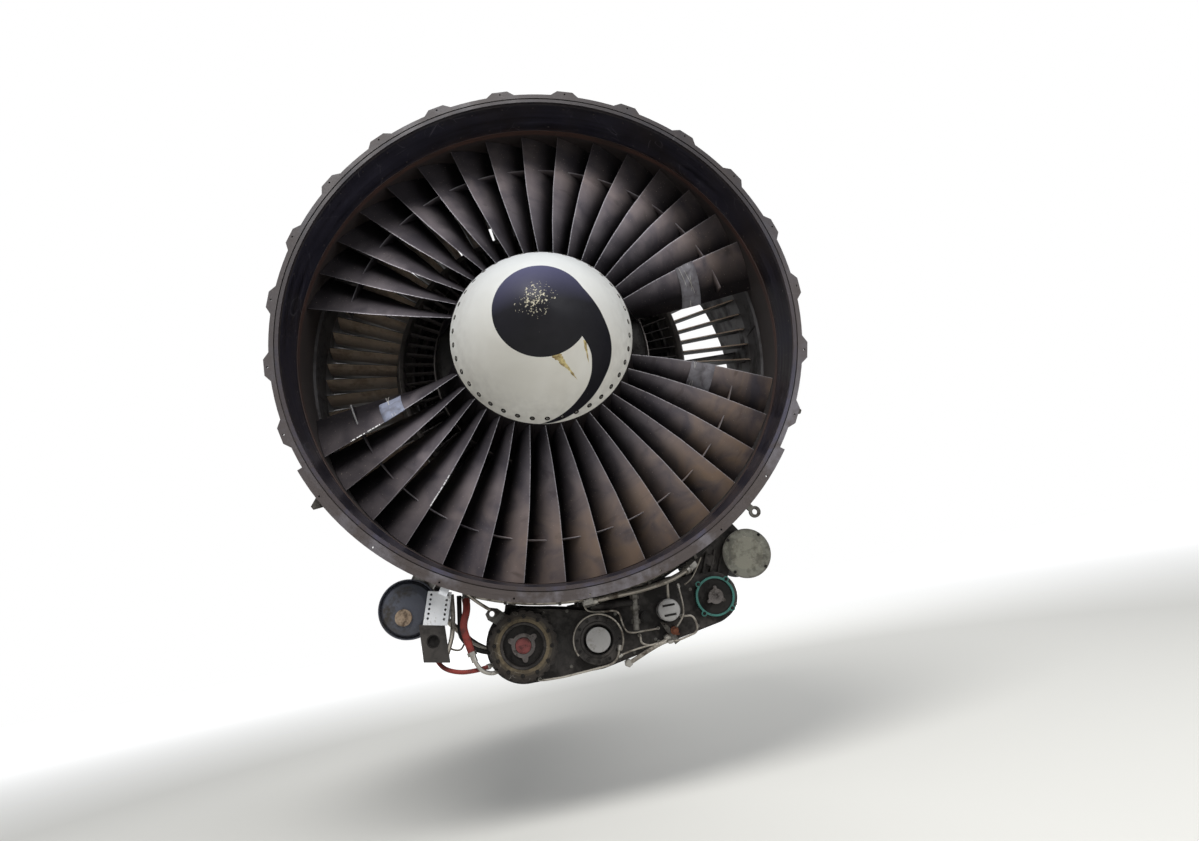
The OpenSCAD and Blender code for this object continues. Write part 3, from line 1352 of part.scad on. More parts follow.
module radial_drive_shaft() color(steel)
    union() {
        translate([0, bevel_y, drive_place[1] + 30])
            cylinder(h = -drive_place[1] - 30 - bevel_ring_r - 20, r = drive_shaft_r);
        translate([0, bevel_y, -bevel_ring_r - 24]) cylinder(h = 20, r1 = 34, r2 = 24);
    }

module horizontal_drive_shaft() color(steel)
    stub(drive_place, gearbox_rear - 36, bevel_y - 30 - gearbox_rear + 36 - 20, drive_shaft_r);

// Mounts
mount_half = 150;
mount_hole_r = 11;

module forward_mount() color(steel)
    difference() {
        union() {
            translate([-mount_half - 40, core_y, 640]) cube([mount_half * 2 + 80, 60, 96]);
            for (side = [-1, 1])
                translate([side * mount_half - 26, core_y + 59, 650]) cube([52, 90, 76]);
        }
        for (side = [-1, 1])
            translate([side * mount_half, core_y + 110, 640]) cylinder(h = 100, r = mount_hole_r);
    }

module rear_mount() color(steel)
    for (side = [-22, 0, 22])
        clock(side) difference() {
            union() {
                translate([-22, rear_frame_y + 90, lpt_out_r + core_wall + seat])
                    cube([44, 70, 30]);
                translate([-10, rear_frame_y + 125, lpt_out_r + core_wall + 60]) rotate([0, 90, 0])
                    cylinder(h = 20, r = 30);
                translate([-10, rear_frame_y + 95, lpt_out_r + core_wall + 20])
                    cube([20, 60, 40]);
            }
            translate([-30, rear_frame_y + 125, lpt_out_r + core_wall + 60]) rotate([0, 90, 0])
                cylinder(h = 60, r = 12);
        }

// Pipes
module oil_pipes() color(steel) {
    port = big_pad + [-123, -45];
    pipe([[tank_place[0] + 40, tank_y + tank_len + seat, tank_place[1] - 30],
        [tank_place[0] + 40, tank_y + tank_len + 80, tank_place[1] - 30],
        [-560, tank_y + tank_len + 80, -1290], [port[0], gearbox_rear + 220, port[1]],
        [port[0], gearbox_rear + seat, port[1]]], 15, 60, 8);
}

module fuel_pipes() color(steel) {
    pipe([[pump_place[0] - 20.3, gearbox_rear + 80, pump_place[1] - 90],
        [60, gearbox_rear + 80, -1420], [60, 900, -1420], [60, core_y + 90, -1300],
        [60, core_y + 90, -700], [60, nozzle_y - 60, -manifold_ring_r - 60],
        [0, nozzle_y, -manifold_ring_r - 56],
        [0, nozzle_y, -manifold_ring_r - manifold_tube_r - seat]], 12, 80, 8);
}

fan_case();
inlet_liner();
rub_strip();
vane_case();
outlet_guide_vanes();
fan_frame();
booster_case();
core_inlet_vanes();
front_sump();
fan_ball_bearing();
fan_roller_bearing();
compressor_bearing();
compressor_case();
compressor_vanes();
unison_rings();
vane_levers();
vane_actuators();
bleed_manifold();
bleed_duct();
combustor_case();
combustor_liner();
fuel_nozzles();
fuel_manifold();
igniters();
high_turbine_case();
turbine_nozzles();
turbine_mid_frame();
high_turbine_bearing();
low_turbine_case();
cooling_tubes();
turbine_rear_frame();
low_turbine_bearing();
exhaust_plug();
accessory_gearbox();
gearbox_hangers();
drive_pads();
pad_covers();
starter();
fuel_pump();
fuel_control();
power_lever();
hydraulic_pump();
oil_pump();
oil_tank();
tank_straps();
transfer_gearbox();
drive_shaft_tube();
radial_drive_shaft();
horizontal_drive_shaft();
forward_mount();
rear_mount();
oil_pipes();
fuel_pipes();
front_brackets();
fan_blades();
fan_disk();
spinner();
low_rotor();
low_shaft();
high_rotor();
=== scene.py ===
"""Looks of a large bare turbofan engine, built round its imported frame.

The engine's axis is Y, air enters at -Y, +Z is up, and the origin is the centre of the front
face of the inlet flange. Lengths are metres. Clock angles run clockwise from the top, in
degrees, seen from the front.
"""

import logging
import math
from dataclasses import dataclass
from enum import Enum
from functools import cached_property
from typing import Callable, Optional, Sequence, Union

import bmesh
import bpy
from mathutils import Matrix, Vector


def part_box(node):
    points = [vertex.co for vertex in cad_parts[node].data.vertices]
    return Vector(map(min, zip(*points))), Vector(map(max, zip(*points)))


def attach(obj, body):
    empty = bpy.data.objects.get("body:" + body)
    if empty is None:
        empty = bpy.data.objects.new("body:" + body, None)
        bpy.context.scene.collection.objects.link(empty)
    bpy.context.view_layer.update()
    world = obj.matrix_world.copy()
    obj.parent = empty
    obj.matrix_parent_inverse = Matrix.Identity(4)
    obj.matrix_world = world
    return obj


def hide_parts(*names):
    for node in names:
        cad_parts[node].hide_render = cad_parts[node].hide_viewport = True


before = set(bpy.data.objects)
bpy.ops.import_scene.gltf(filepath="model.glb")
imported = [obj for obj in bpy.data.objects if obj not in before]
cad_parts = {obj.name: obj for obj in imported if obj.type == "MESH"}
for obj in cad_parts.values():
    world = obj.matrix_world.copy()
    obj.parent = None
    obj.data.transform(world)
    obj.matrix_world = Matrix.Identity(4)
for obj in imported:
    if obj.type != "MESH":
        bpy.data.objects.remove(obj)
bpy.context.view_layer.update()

LOG = logging.getLogger("engine")
FRONT, REAR, UP = Vector((0.0, -1.0, 0.0)), Vector((0.0, 1.0, 0.0)), Vector((0.0, 0.0, 1.0))

Colour = tuple[int, int, int]
Pair = tuple[float, float]
Key = Union[int, str]
Line = Sequence[Pair]
Route = Sequence[Sequence[float]]


def tone(colour: Colour) -> tuple[float, ...]:
    """Turns a colour as a screen shows it, from 0 to 255, into linear light."""
    parts = [part / 255 for part in colour]
    return (*(p / 12.92 if p <= 0.04045 else ((p + 0.055) / 1.055) ** 2.4 for p in parts), 1.0)


def clock_point(angle: float, radius: float, y: float) -> Vector:
    """Gives the point at a clock angle, a radius and a station along the axis."""
    turn = math.radians(angle)
    return Vector((radius * math.sin(turn), y, radius * math.cos(turn)))


def clock_turn(angle: float) -> Matrix:
    """Gives the matrix that turns what lies at the top to a clock angle."""
    return Matrix.Rotation(math.radians(angle), 4, "Y")


def mm(*points: Sequence[float]) -> list[tuple[float, ...]]:
    """Turns points in millimetres into metres."""
    return [tuple(part / 1000 for part in point) for point in points]


class Body(Enum):
    """Bodies of the frame that new pieces ride on."""

    CASE = "engine_case"
    FAN = "low_spool"


class Slot(Enum):
    """The record's material slots."""

    DARK = "dark_metal"
    CAST = "cast_alloy"
    TITANIUM = "titanium"
    STEEL = "steel"
    PAINT = "spinner_paint"


# Materials


def operator(operation: str) -> Callable[["Term", "Value"], "Term"]:
    """Gives the method that works out one sum of a term and another value."""
    return lambda term, other: term.calc(operation, other)


class Term:
    """A shader value; each sum on it adds a node to its graph."""

    __add__ = operator("ADD")
    __sub__ = operator("SUBTRACT")
    __mul__ = operator("MULTIPLY")
    __truediv__ = operator("DIVIDE")
    __gt__ = operator("GREATER_THAN")
    __lt__ = operator("LESS_THAN")
    maximum = operator("MAXIMUM")

    def __init__(self, graph: "Graph", socket: bpy.types.NodeSocket) -> None:
        """Wraps a socket of a graph."""
        self.graph, self.socket = graph, socket

    def calc(self, operation: str, other: "Value" = 0.0) -> "Term":
        """Works out one of the Math node's operations on this value and another."""
        return self.graph.term("Math", {0: self, 1: other}, operation=operation)

    def span(self, low: "Value", high: "Value", start: float = 0.0, end: float = 1.0) -> "Term":
        """Maps what lies between low and high to the range from start to end, and keeps it inside."""
        return self.graph.term("MapRange", dict(enumerate((self, low, high, start, end))), clamp=True)

    def mix(self, low: object, high: object) -> "Term":
        """Mixes two colours, with this value as the share of the second."""
        return self.graph.term("Mix", {0: self, 6: low, 7: high}, 2, data_type="RGBA")

    def over(self, share: "Value", colour: object) -> "Term":
        """Covers a share of this colour with another."""
        return self.graph.term("Mix", {0: share, 6: self, 7: colour}, 2, data_type="RGBA")

    def noise(self, scale: "Value", detail: float, warp: float = 0.0) -> "Term":
        """Gives a bent random value near 0.5 at this place, with as many blotches to a metre as scale."""
        return self.graph.term("TexNoise", {"Vector": self, "Scale": scale, "Detail": detail, "Distortion": warp})

    def cells(self, scale: "Value", feature: str) -> "Term":
        """Gives a value of the cell pattern at this place."""
        return self.graph.term("TexVoronoi", {"Vector": self, "Scale": scale}, feature=feature)

    def split(self) -> list["Term"]:
        """Splits this position into X, Y and Z."""
        made = self.graph.term("SeparateXYZ", {0: self}).socket.node
        return [Term(self.graph, socket) for socket in made.outputs]


Value = Union[Term, float]


class Graph:
    """A node tree that is written as sums of terms."""

    def __init__(self, tree: bpy.types.NodeTree) -> None:
        """Starts on a tree."""
        self.tree = tree

    def feed(self, socket: bpy.types.NodeSocket, value: object) -> None:
        """Links a socket to a term, or sets its value.

        Args:
            socket: The socket.
            value: A term, or a value; three numbers are a colour as a screen shows it.
        """
        if isinstance(value, Term):
            self.tree.links.new(value.socket, socket)
        else:
            socket.default_value = tone(value) if isinstance(value, tuple) and len(value) == 3 else value

    def node(self, kind: str, **settings: object) -> bpy.types.Node:
        """Adds a node.

        Args:
            kind: The node's type name, without its ShaderNode prefix.
            **settings: Properties of the node.

        Returns:
            The new node.
        """
        made = self.tree.nodes.new(kind if kind.startswith("Node") else "ShaderNode" + kind)
        for name, value in settings.items():
            setattr(made, name, value)
        return made

    def term(self, kind: str, inputs: dict[Key, object], output: Key = 0, **settings: object) -> Term:
        """Adds a node and reads one of its outputs.

        Args:
            kind: The node's type name, without its ShaderNode prefix.
            inputs: What goes into its inputs, by number or name.
            output: Number or name of the output.
            **settings: Properties of the node.

        Returns:
            The output.
        """
        made = self.node(kind, **settings)
        for key, value in inputs.items():
            self.feed(made.inputs[key], value)
        return Term(self, made.outputs[output])

    def join(self, x: Value, y: Value, z: Value) -> Term:
        """Joins three values into one position."""
        return self.term("CombineXYZ", {0: x, 1: y, 2: z})


class Effect:
    """A shader node group that several finishes use; its first input is the place."""

    def __init__(self, name: str, inputs: Sequence[str], outputs: Sequence[str],
                 build: Callable[..., Sequence[Term]]) -> None:
        """Makes the group.

        Args:
            name: The group's name.
            inputs: Names of its inputs after the place.
            outputs: Names of its outputs.
            build: Function that makes the outputs from the inputs.
        """
        self.tree = bpy.data.node_groups.new(name, "ShaderNodeTree")
        for item in ("Place", *inputs):
            kind = "NodeSocketVector" if item == "Place" else "NodeSocketFloat"
            self.tree.interface.new_socket(name=item, in_out="INPUT", socket_type=kind)
        for item in outputs:
            self.tree.interface.new_socket(name=item, in_out="OUTPUT", socket_type="NodeSocketFloat")
        graph = Graph(self.tree)
        start, end = graph.node("NodeGroupInput"), graph.node("NodeGroupOutput")
        given = [Term(graph, socket) for socket in start.outputs[:len(inputs) + 1]]
        for socket, result in zip(end.inputs, build(*given)):
            graph.feed(socket, result)


def distance(x: Term, z: Term) -> Term:
    """Gives the distance from the axis that x and z are measured from."""
    return (x * x + z * z).calc("SQRT")


def build_grime(place: Term, size: Term, cover: Term) -> list[Term]:
    """Makes blotches of dirt at two sizes, with ragged edges.

    Args:
        place: Where the pattern is read.
        size: How many blotches fit in a metre.
        cover: Share of the surface that is dirty.

    Returns:
        The dirt's mask.
    """
    both = place.noise(size, 6.0, 0.6) * 0.7 + place.noise(size * 7.0, 5.0) * 0.3
    low = cover * -0.45 + 0.72
    return [both.span(low, low + 0.14)]


def build_polar(place: Term) -> list[Term]:
    """Gives the radius, clock angle and station of a place.

    Args:
        place: The place.

    Returns:
        The three values.
    """
    x, y, z = place.split()
    turn = x.calc("ARCTAN2", z) * (180 / math.pi)
    return [distance(x, z), turn.calc("FLOORED_MODULO", 360.0), y]


def build_turning(place: Term, pitch: Term) -> list[Term]:
    """Makes the fine rings that a lathe leaves about the engine's axis.

    Args:
        place: Where the pattern is read.
        pitch: How many rings fit in a metre.

    Returns:
        The rings' height.
    """
    x, y, z = place.split()
    return [place.graph.join(distance(x, z) * pitch, y * pitch, place.noise(3.0, 2.0)).noise(1.0, 3.0)]


def build_casting(place: Term, size: Term) -> list[Term]:
    """Makes the pebbled skin of a sand casting."""
    return [place.cells(size, "SMOOTH_F1") + place.noise(size * 2.3, 3.0)]


def build_scratches(place: Term, size: Term, cover: Term) -> list[Term]:
    """Makes thin crossing scratches.

    Args:
        place: Where the pattern is read.
        size: How many cells of scratches fit in a metre.
        cover: Share of the surface that is scratched.

    Returns:
        The scratches' mask.
    """
    x, y, z = place.split()
    bent = place.graph.join(x + place.noise(size * 0.4, 2.0) * 0.25, y, z)
    line = bent.cells(size, "DISTANCE_TO_EDGE").span(0.0, 0.02, 1.0, 0.0)
    low = cover * -0.4 + 0.75
    return [line * place.noise(size * 0.8, 3.0).span(low, low + 0.1)]


GRIME = Effect("Grime", ["Size", "Cover"], ["Mask"], build_grime)
POLAR = Effect("Polar", [], ["Radius", "Clock", "Station"], build_polar)
TURNING = Effect("Turning", ["Pitch"], ["Height"], build_turning)
CASTING = Effect("Casting", ["Size"], ["Height"], build_casting)
SCRATCHES = Effect("Scratches", ["Size", "Cover"], ["Mask"], build_scratches)


class Surface(Graph):
    """A material in the making: its Object coordinates and its Principled shader."""

    def __init__(self, name: str) -> None:
        """Starts a material.

        Args:
            name: The material's name.
        """
        self.material = bpy.data.materials.new(name)
        self.material.use_nodes = True
        super().__init__(self.material.node_tree)
        self.shader = self.tree.nodes["Principled BSDF"]
        self.place = self.term("TexCoord", {}, "Object")

    def use(self, effect: Effect, *values: float) -> list[Term]:
        """Places a shared group that reads the surface's own place.

        Args:
            effect: The group.
            *values: What goes into its inputs after the place.

        Returns:
            The group's outputs.
        """
        made = self.node("Group", node_tree=effect.tree)
        for socket, value in zip(made.inputs, (self.place, *values)):
            self.feed(socket, value)
        return [Term(self, socket) for socket in made.outputs]

    def set(self, **values: object) -> None:
        """Feeds the shader's sockets, with _ for a space in their names."""
        for name, value in values.items():
            self.feed(self.shader.inputs[name.replace("_", " ")], value)

    def bump(self, height: Term, depth: float, strength: float = 0.6) -> None:
        """Gives the surface relief, with depth the distance that a height of 1 stands for."""
        self.set(Normal=self.term("Bump", {"Strength": strength, "Distance": depth, "Height": height}))


@dataclass(frozen=True)
class Finish:
    """A finish with a name; each kind adds its own nodes."""

    name: str

    def build(self) -> bpy.types.Material:
        """Makes the material.

        Returns:
            The material.
        """
        made = Surface(self.name)
        self.dress(made)
        return made.material

    def dress(self, made: Surface) -> None:
        """Adds the finish's nodes.

        Args:
            made: Surface that they are added to.
        """
        raise NotImplementedError


@dataclass(frozen=True)
class MetalFinish(Finish):
    """A metal surface with dirt, rubbed spots and relief."""

    colour: Colour
    rubbed: Colour
    dirt: Colour
    metallic: float
    roughness: float
    grime_size: float
    grime_cover: float
    scratch_size: float = 14.0
    cast_size: float = 0.0
    turned_pitch: float = 0.0
    depth: float = 0.0008
    specular: float = 0.5

    def dress(self, made: Surface) -> None:
        """Adds the finish's nodes.

        Args:
            made: Surface that they are added to.
        """
        grime, = made.use(GRIME, self.grime_size, self.grime_cover)
        scratch, = made.use(SCRATCHES, self.scratch_size, 0.5)
        cloud = made.place.noise(self.grime_size * 0.6, 5.0)
        base = cloud.span(0.3, 0.7).mix(self.colour, self.rubbed).over(scratch, self.rubbed)
        rough = grime.span(0.0, 1.0, self.roughness, min(self.roughness + 0.3, 0.9))
        made.set(Base_Color=base.over(grime, self.dirt), Specular_IOR_Level=self.specular,
                 Metallic=grime.span(0.0, 1.0, self.metallic, self.metallic * 0.35),
                 Roughness=rough + cloud.span(0.3, 0.7, -0.06, 0.06))
        relief = made.place.noise(90.0, 4.0)
        if self.cast_size:
            relief, = made.use(CASTING, self.cast_size)
        elif self.turned_pitch:
            relief, = made.use(TURNING, self.turned_pitch)
        made.bump(relief, self.depth)


@dataclass(frozen=True)
class HeatedFinish(Finish):
    """Steel that heat has tinted, more so towards the rear."""

    front: float
    rear: float
    roughness: float = 0.42
    tints: tuple[tuple[float, Colour], ...] = (
        (0.0, (148, 142, 133)), (0.3, (150, 131, 104)), (0.55, (112, 84, 70)), (0.75, (80, 74, 88)),
        (1.0, (92, 78, 68)))

    def dress(self, made: Surface) -> None:
        """Adds the finish's nodes.

        Args:
            made: Surface that they are added to.
        """
        station = made.use(POLAR)[2]
        shift = station + made.place.noise(3.5, 6.0, 0.8).span(0.3, 0.7, -0.22, 0.22)
        ramp = made.term("ValToRGB", {0: shift.span(self.front, self.rear)})
        stops = ramp.socket.node.color_ramp.elements
        for _ in self.tints[2:]:
            stops.new(0.5)
        for stop, (position, colour) in zip(stops, self.tints):
            stop.position, stop.color = position, tone(colour)
        grime, = made.use(GRIME, 5.0, 0.5)
        made.set(Base_Color=ramp.over(grime, (52, 44, 38)), Metallic=0.85,
                 Roughness=grime.span(0.0, 1.0, self.roughness, 0.75))
        made.bump(made.use(TURNING, 160.0)[0], 0.0006)


@dataclass(frozen=True)
class FanCaseFinish(Finish):
    """The fan case: a grey bolting face and a grey lip, both painted lighter towards the bottom and darker at the top
    as painted light and shade, a dark step, and dull dark paint elsewhere.
    """

    front_y: float = 0.015
    face_r: float = 1.137
    step_r: Pair = (1.1325, 1.134)

    def dress(self, made: Surface) -> None:
        """Adds the finish's nodes.

        Args:
            made: Surface that they are added to.
        """
        radius, clock, station = made.use(POLAR)
        front = station < self.front_y
        low = (clock * (math.pi / 180)).calc("COSINE") * -1.0
        grime, = made.use(GRIME, 5.0, 0.75)
        cloud = made.place.noise(6.0, 6.0, 0.5)
        scratch, = made.use(SCRATCHES, 9.0, 0.45)
        # Painted light and shade: the bolting face is lighter towards the bottom and darker at the top.
        ring = low.span(-0.5, 0.9).mix((42, 40, 45), (112, 108, 113))
        ring = ring.over(cloud.span(0.35, 0.65), ring.over(0.45, (58, 51, 49)))
        # Painted light and shade: the lip is lighter and bluer towards the bottom.
        lip = low.span(-0.4, 0.9).mix((30, 28, 35), (74, 71, 88))
        lip = lip.over(cloud.span(0.35, 0.7, 0.0, 0.6), (36, 33, 38))
        base = front.mix(cloud.mix((44, 43, 47), (66, 64, 67)), lip)
        base = base.over(front * radius.span(*self.step_r), (14, 13, 15))
        base = base.over(front * (radius > self.face_r), ring).over(scratch * 0.22, (150, 148, 148))
        made.set(Base_Color=base.over(grime * low.span(-0.6, 0.9, 0.25, 0.8), (60, 50, 44)), Metallic=0.25,
                 Roughness=cloud.span(0.3, 0.7, 0.42, 0.62))
        made.bump(made.place.noise(60.0, 5.0), 0.001)


@dataclass(frozen=True)
class LinerFinish(Finish):
    """The inlet's inner wall: bluish black, with lighter bluish streaks round the axis that are a painted reflection,
    browner towards the blades.
    """

    rub_start: float = 0.182

    def dress(self, made: Surface) -> None:
        """Adds the finish's nodes.

        Args:
            made: Surface that they are added to.
        """
        _, clock, station = made.use(POLAR)
        streak = made.join(station * 60.0, clock * 0.03, 0.0).noise(1.0, 4.0)
        cloud = made.place.noise(3.0, 6.0, 0.6)
        # Painted reflection: lighter bluish streaks round the axis.
        base = streak.span(0.35, 0.7).mix((20, 19, 26), (42, 40, 52))
        base = base.over(cloud.span(0.45, 0.75), (30, 25, 24))
        brown = station + cloud.span(0.3, 0.7, -0.02, 0.02)
        base = base.over(brown.span(self.rub_start, self.rub_start + 0.03), (42, 29, 26))
        scratch, = made.use(SCRATCHES, 11.0, 0.55)
        made.set(Base_Color=base.over(scratch * 0.4, (120, 118, 124)), Metallic=0.1,
                 Roughness=streak.span(0.3, 0.7, 0.3, 0.5))
        made.bump(streak, 0.0006)


@dataclass(frozen=True)
class RubStripFinish(Finish):
    """The strip that the blade tips may rub: reddish brown at its front edge, darker behind."""

    red_end: float = 0.226

    def dress(self, made: Surface) -> None:
        """Adds the finish's nodes.

        Args:
            made: Surface that they are added to.
        """
        _, clock, station = made.use(POLAR)
        groove = made.join(station * 220.0, clock * 0.05, 0.0).noise(1.0, 3.0)
        cloud = made.place.noise(5.0, 6.0, 0.4)
        high = made.place.split()[2].span(-0.8, 0.6)
        base = cloud.span(0.3, 0.7).mix((50, 32, 27), (70, 43, 35))
        base = high.mix(base.over(0.55, (44, 38, 36)), base)
        depth = station + cloud.span(0.3, 0.7, -0.006, 0.006)
        dark = high.mix((40, 36, 36), (34, 26, 25))
        base = base.over(depth.span(self.red_end, self.red_end + 0.012), dark)
        made.set(Base_Color=base.over(groove.span(0.5, 0.7), (32, 24, 23)), Roughness=0.7)
        made.bump(groove, 0.0012)


@dataclass(frozen=True)
class VaneFinish(Finish):
    """Vanes whose side that turns against the clock is a pale dusty brown, made bright as painted light, while the
    other side is painted dark as painted shade; both grow darker towards the rear, a painted shade.
    """

    node: str
    dust: Colour
    pale_dust: Colour
    dirt: Colour

    def dress(self, made: Surface) -> None:
        """Adds the finish's nodes.

        Args:
            made: Surface that they are added to.
        """
        face_x, _, face_z = made.term("NewGeometry", {}, "Normal").split()
        x, y, z = made.place.split()
        low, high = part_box(self.node)
        depth = high[1] - low[1]
        grime, = made.use(GRIME, 7.0, 0.5)
        cloud = made.place.noise(7.0, 6.0, 0.4)
        even = cloud.span(0.3, 0.7)
        # Painted shade: the dark tone that the other side and the rear of the vanes get.
        painted_shade_tone = even.mix((44, 41, 40), (62, 57, 54))
        # The dusty colours are made bright to stand in for light that this side does not get: painted light.
        dusty = even.mix(self.dust, self.pale_dust).over(grime * 0.7, self.dirt)
        # Painted shade: darker towards the rear of the vanes.
        dusty = dusty.over(y.span(low[1] + 0.2 * depth, low[1] + 0.8 * depth) * 0.92, painted_shade_tone)
        # Painted light and shade: the side a face turns to chooses the bright dusty colours or the dark tone.
        facing = face_x * z - face_z * x
        made.set(Base_Color=facing.span(-0.15, 0.15).mix(dusty, painted_shade_tone), Metallic=0.15,
                 Roughness=cloud.span(0.3, 0.7, 0.5, 0.62))
        made.bump(made.place.noise(90.0, 4.0), 0.0006)


@dataclass(frozen=True)
class BladeFinish(Finish):
    """Titanium fan blades: leading edges painted bright as a highlight, a tan patina outwards that is painted
    stronger at the lower right as painted light, and painted shade towards the trailing edge, the root, the upper
    left and the outer part of the upper blades.
    """

    wear_and_glint_edges: tuple[tuple[int, float, float], ...] = ((23, 0.5, 0.72), (26, 0.60, 0.69), (26, 0.71, 0.81))

    def dress(self, made: Surface) -> None:
        """Adds the nodes, which read chord and span from the UV map and a number for each blade.

        Args:
            made: Surface that they are added to.
        """
        chord, span = made.term("UVMap", {}, uv_map="blade").split()[:2]
        own = made.term("Attribute", {}, "Fac", attribute_name="blade_number")
        streak = made.join(chord * 1.5, span * 9.0, own * 3.1).noise(1.0, 5.0, 0.8)
        cloud = made.join(chord, span * 4.0, own * 7.3).noise(1.3, 6.0, 0.7)
        x, _, z = made.place.split()
        # Tan patina, painted strongest low and to the right where light falls: partly patina, partly painted light.
        tan = span.span(0.3, 0.75) * cloud.span(0.3, 0.6) * z.span(-0.7, 0.5, 1.0, 0.35)
        base = cloud.span(0.35, 0.7).mix((96, 91, 98), (132, 125, 130))
        base = base.over(tan * x.span(-0.6, 0.25, 0.15, 1.0) * 0.8, (150, 126, 104))
        base = base.over(streak.span(0.6, 0.75, 0.0, 0.45), (64, 56, 54))
        # Painted shade: darker near the root.
        base = base.over(span.span(0.0, 0.45, 0.88, 0.0), (30, 28, 33))
        # Painted shade: darker towards the trailing edge, more so near the root.
        trailing_shade = chord.span(span.span(0.1, 1.0, 0.06, 0.22), span.span(0.1, 1.0, 0.5, 0.78))
        base = base.over(trailing_shade * 0.93, (20, 18, 22))
        # Painted shade: darker on the blades at the upper left.
        base = base.over(x.span(-0.9, 0.1, 0.6, 0.0) * z.span(-0.5, 0.3), (34, 31, 35))
        # Painted shade: the outer part of the upper blades, and of the blades at the left, is painted dark.
        outer = z.span(0.0, 0.6) * span.span(0.66, 0.8)
        outer = outer.maximum(x.span(-0.9, -0.4, 1.0, 0.0) * span.span(0.4, 0.75))
        base = base.over(outer * 0.75, (30, 27, 30))
        # Painted highlight: a thin bright line along the leading edges, broken up by noise and dimmer where the
        # painted shade lies.
        edge_noise = made.join(0.0, span * 60.0, own).noise(1.0, 3.0)
        edge = chord.span(0.0, 0.016, 1.0, 0.0) * edge_noise.span(0.3, 0.55)
        base = base.over(edge * outer.span(0.0, 1.0, 1.0, 0.2), (182, 180, 186))
        # White marks on the leading edges of blades 23 and 26: partly chipped bare metal, partly painted highlight.
        for blade, low, high in self.wear_and_glint_edges:
            here = made.term("Math", {0: own, 1: float(blade), 2: 0.4}, operation="COMPARE")
            worn = here * ((span > low) * (span < high)) * edge_noise.span(0.42, 0.5)
            base = base.over(worn * chord.span(0.012, 0.03, 1.0, 0.0), (240, 240, 240))
        speck = made.join(chord * 30.0, span * 90.0, own).noise(1.0, 2.0)
        made.set(Base_Color=base.over(speck.span(0.68, 0.74, 0.0, 0.5), (170, 158, 146)), Metallic=0.55,
                 Roughness=cloud.span(0.3, 0.7, 0.4, 0.58), Specular_IOR_Level=0.3)
        made.bump(made.place.noise(40.0, 5.0), 0.0006, 0.4)


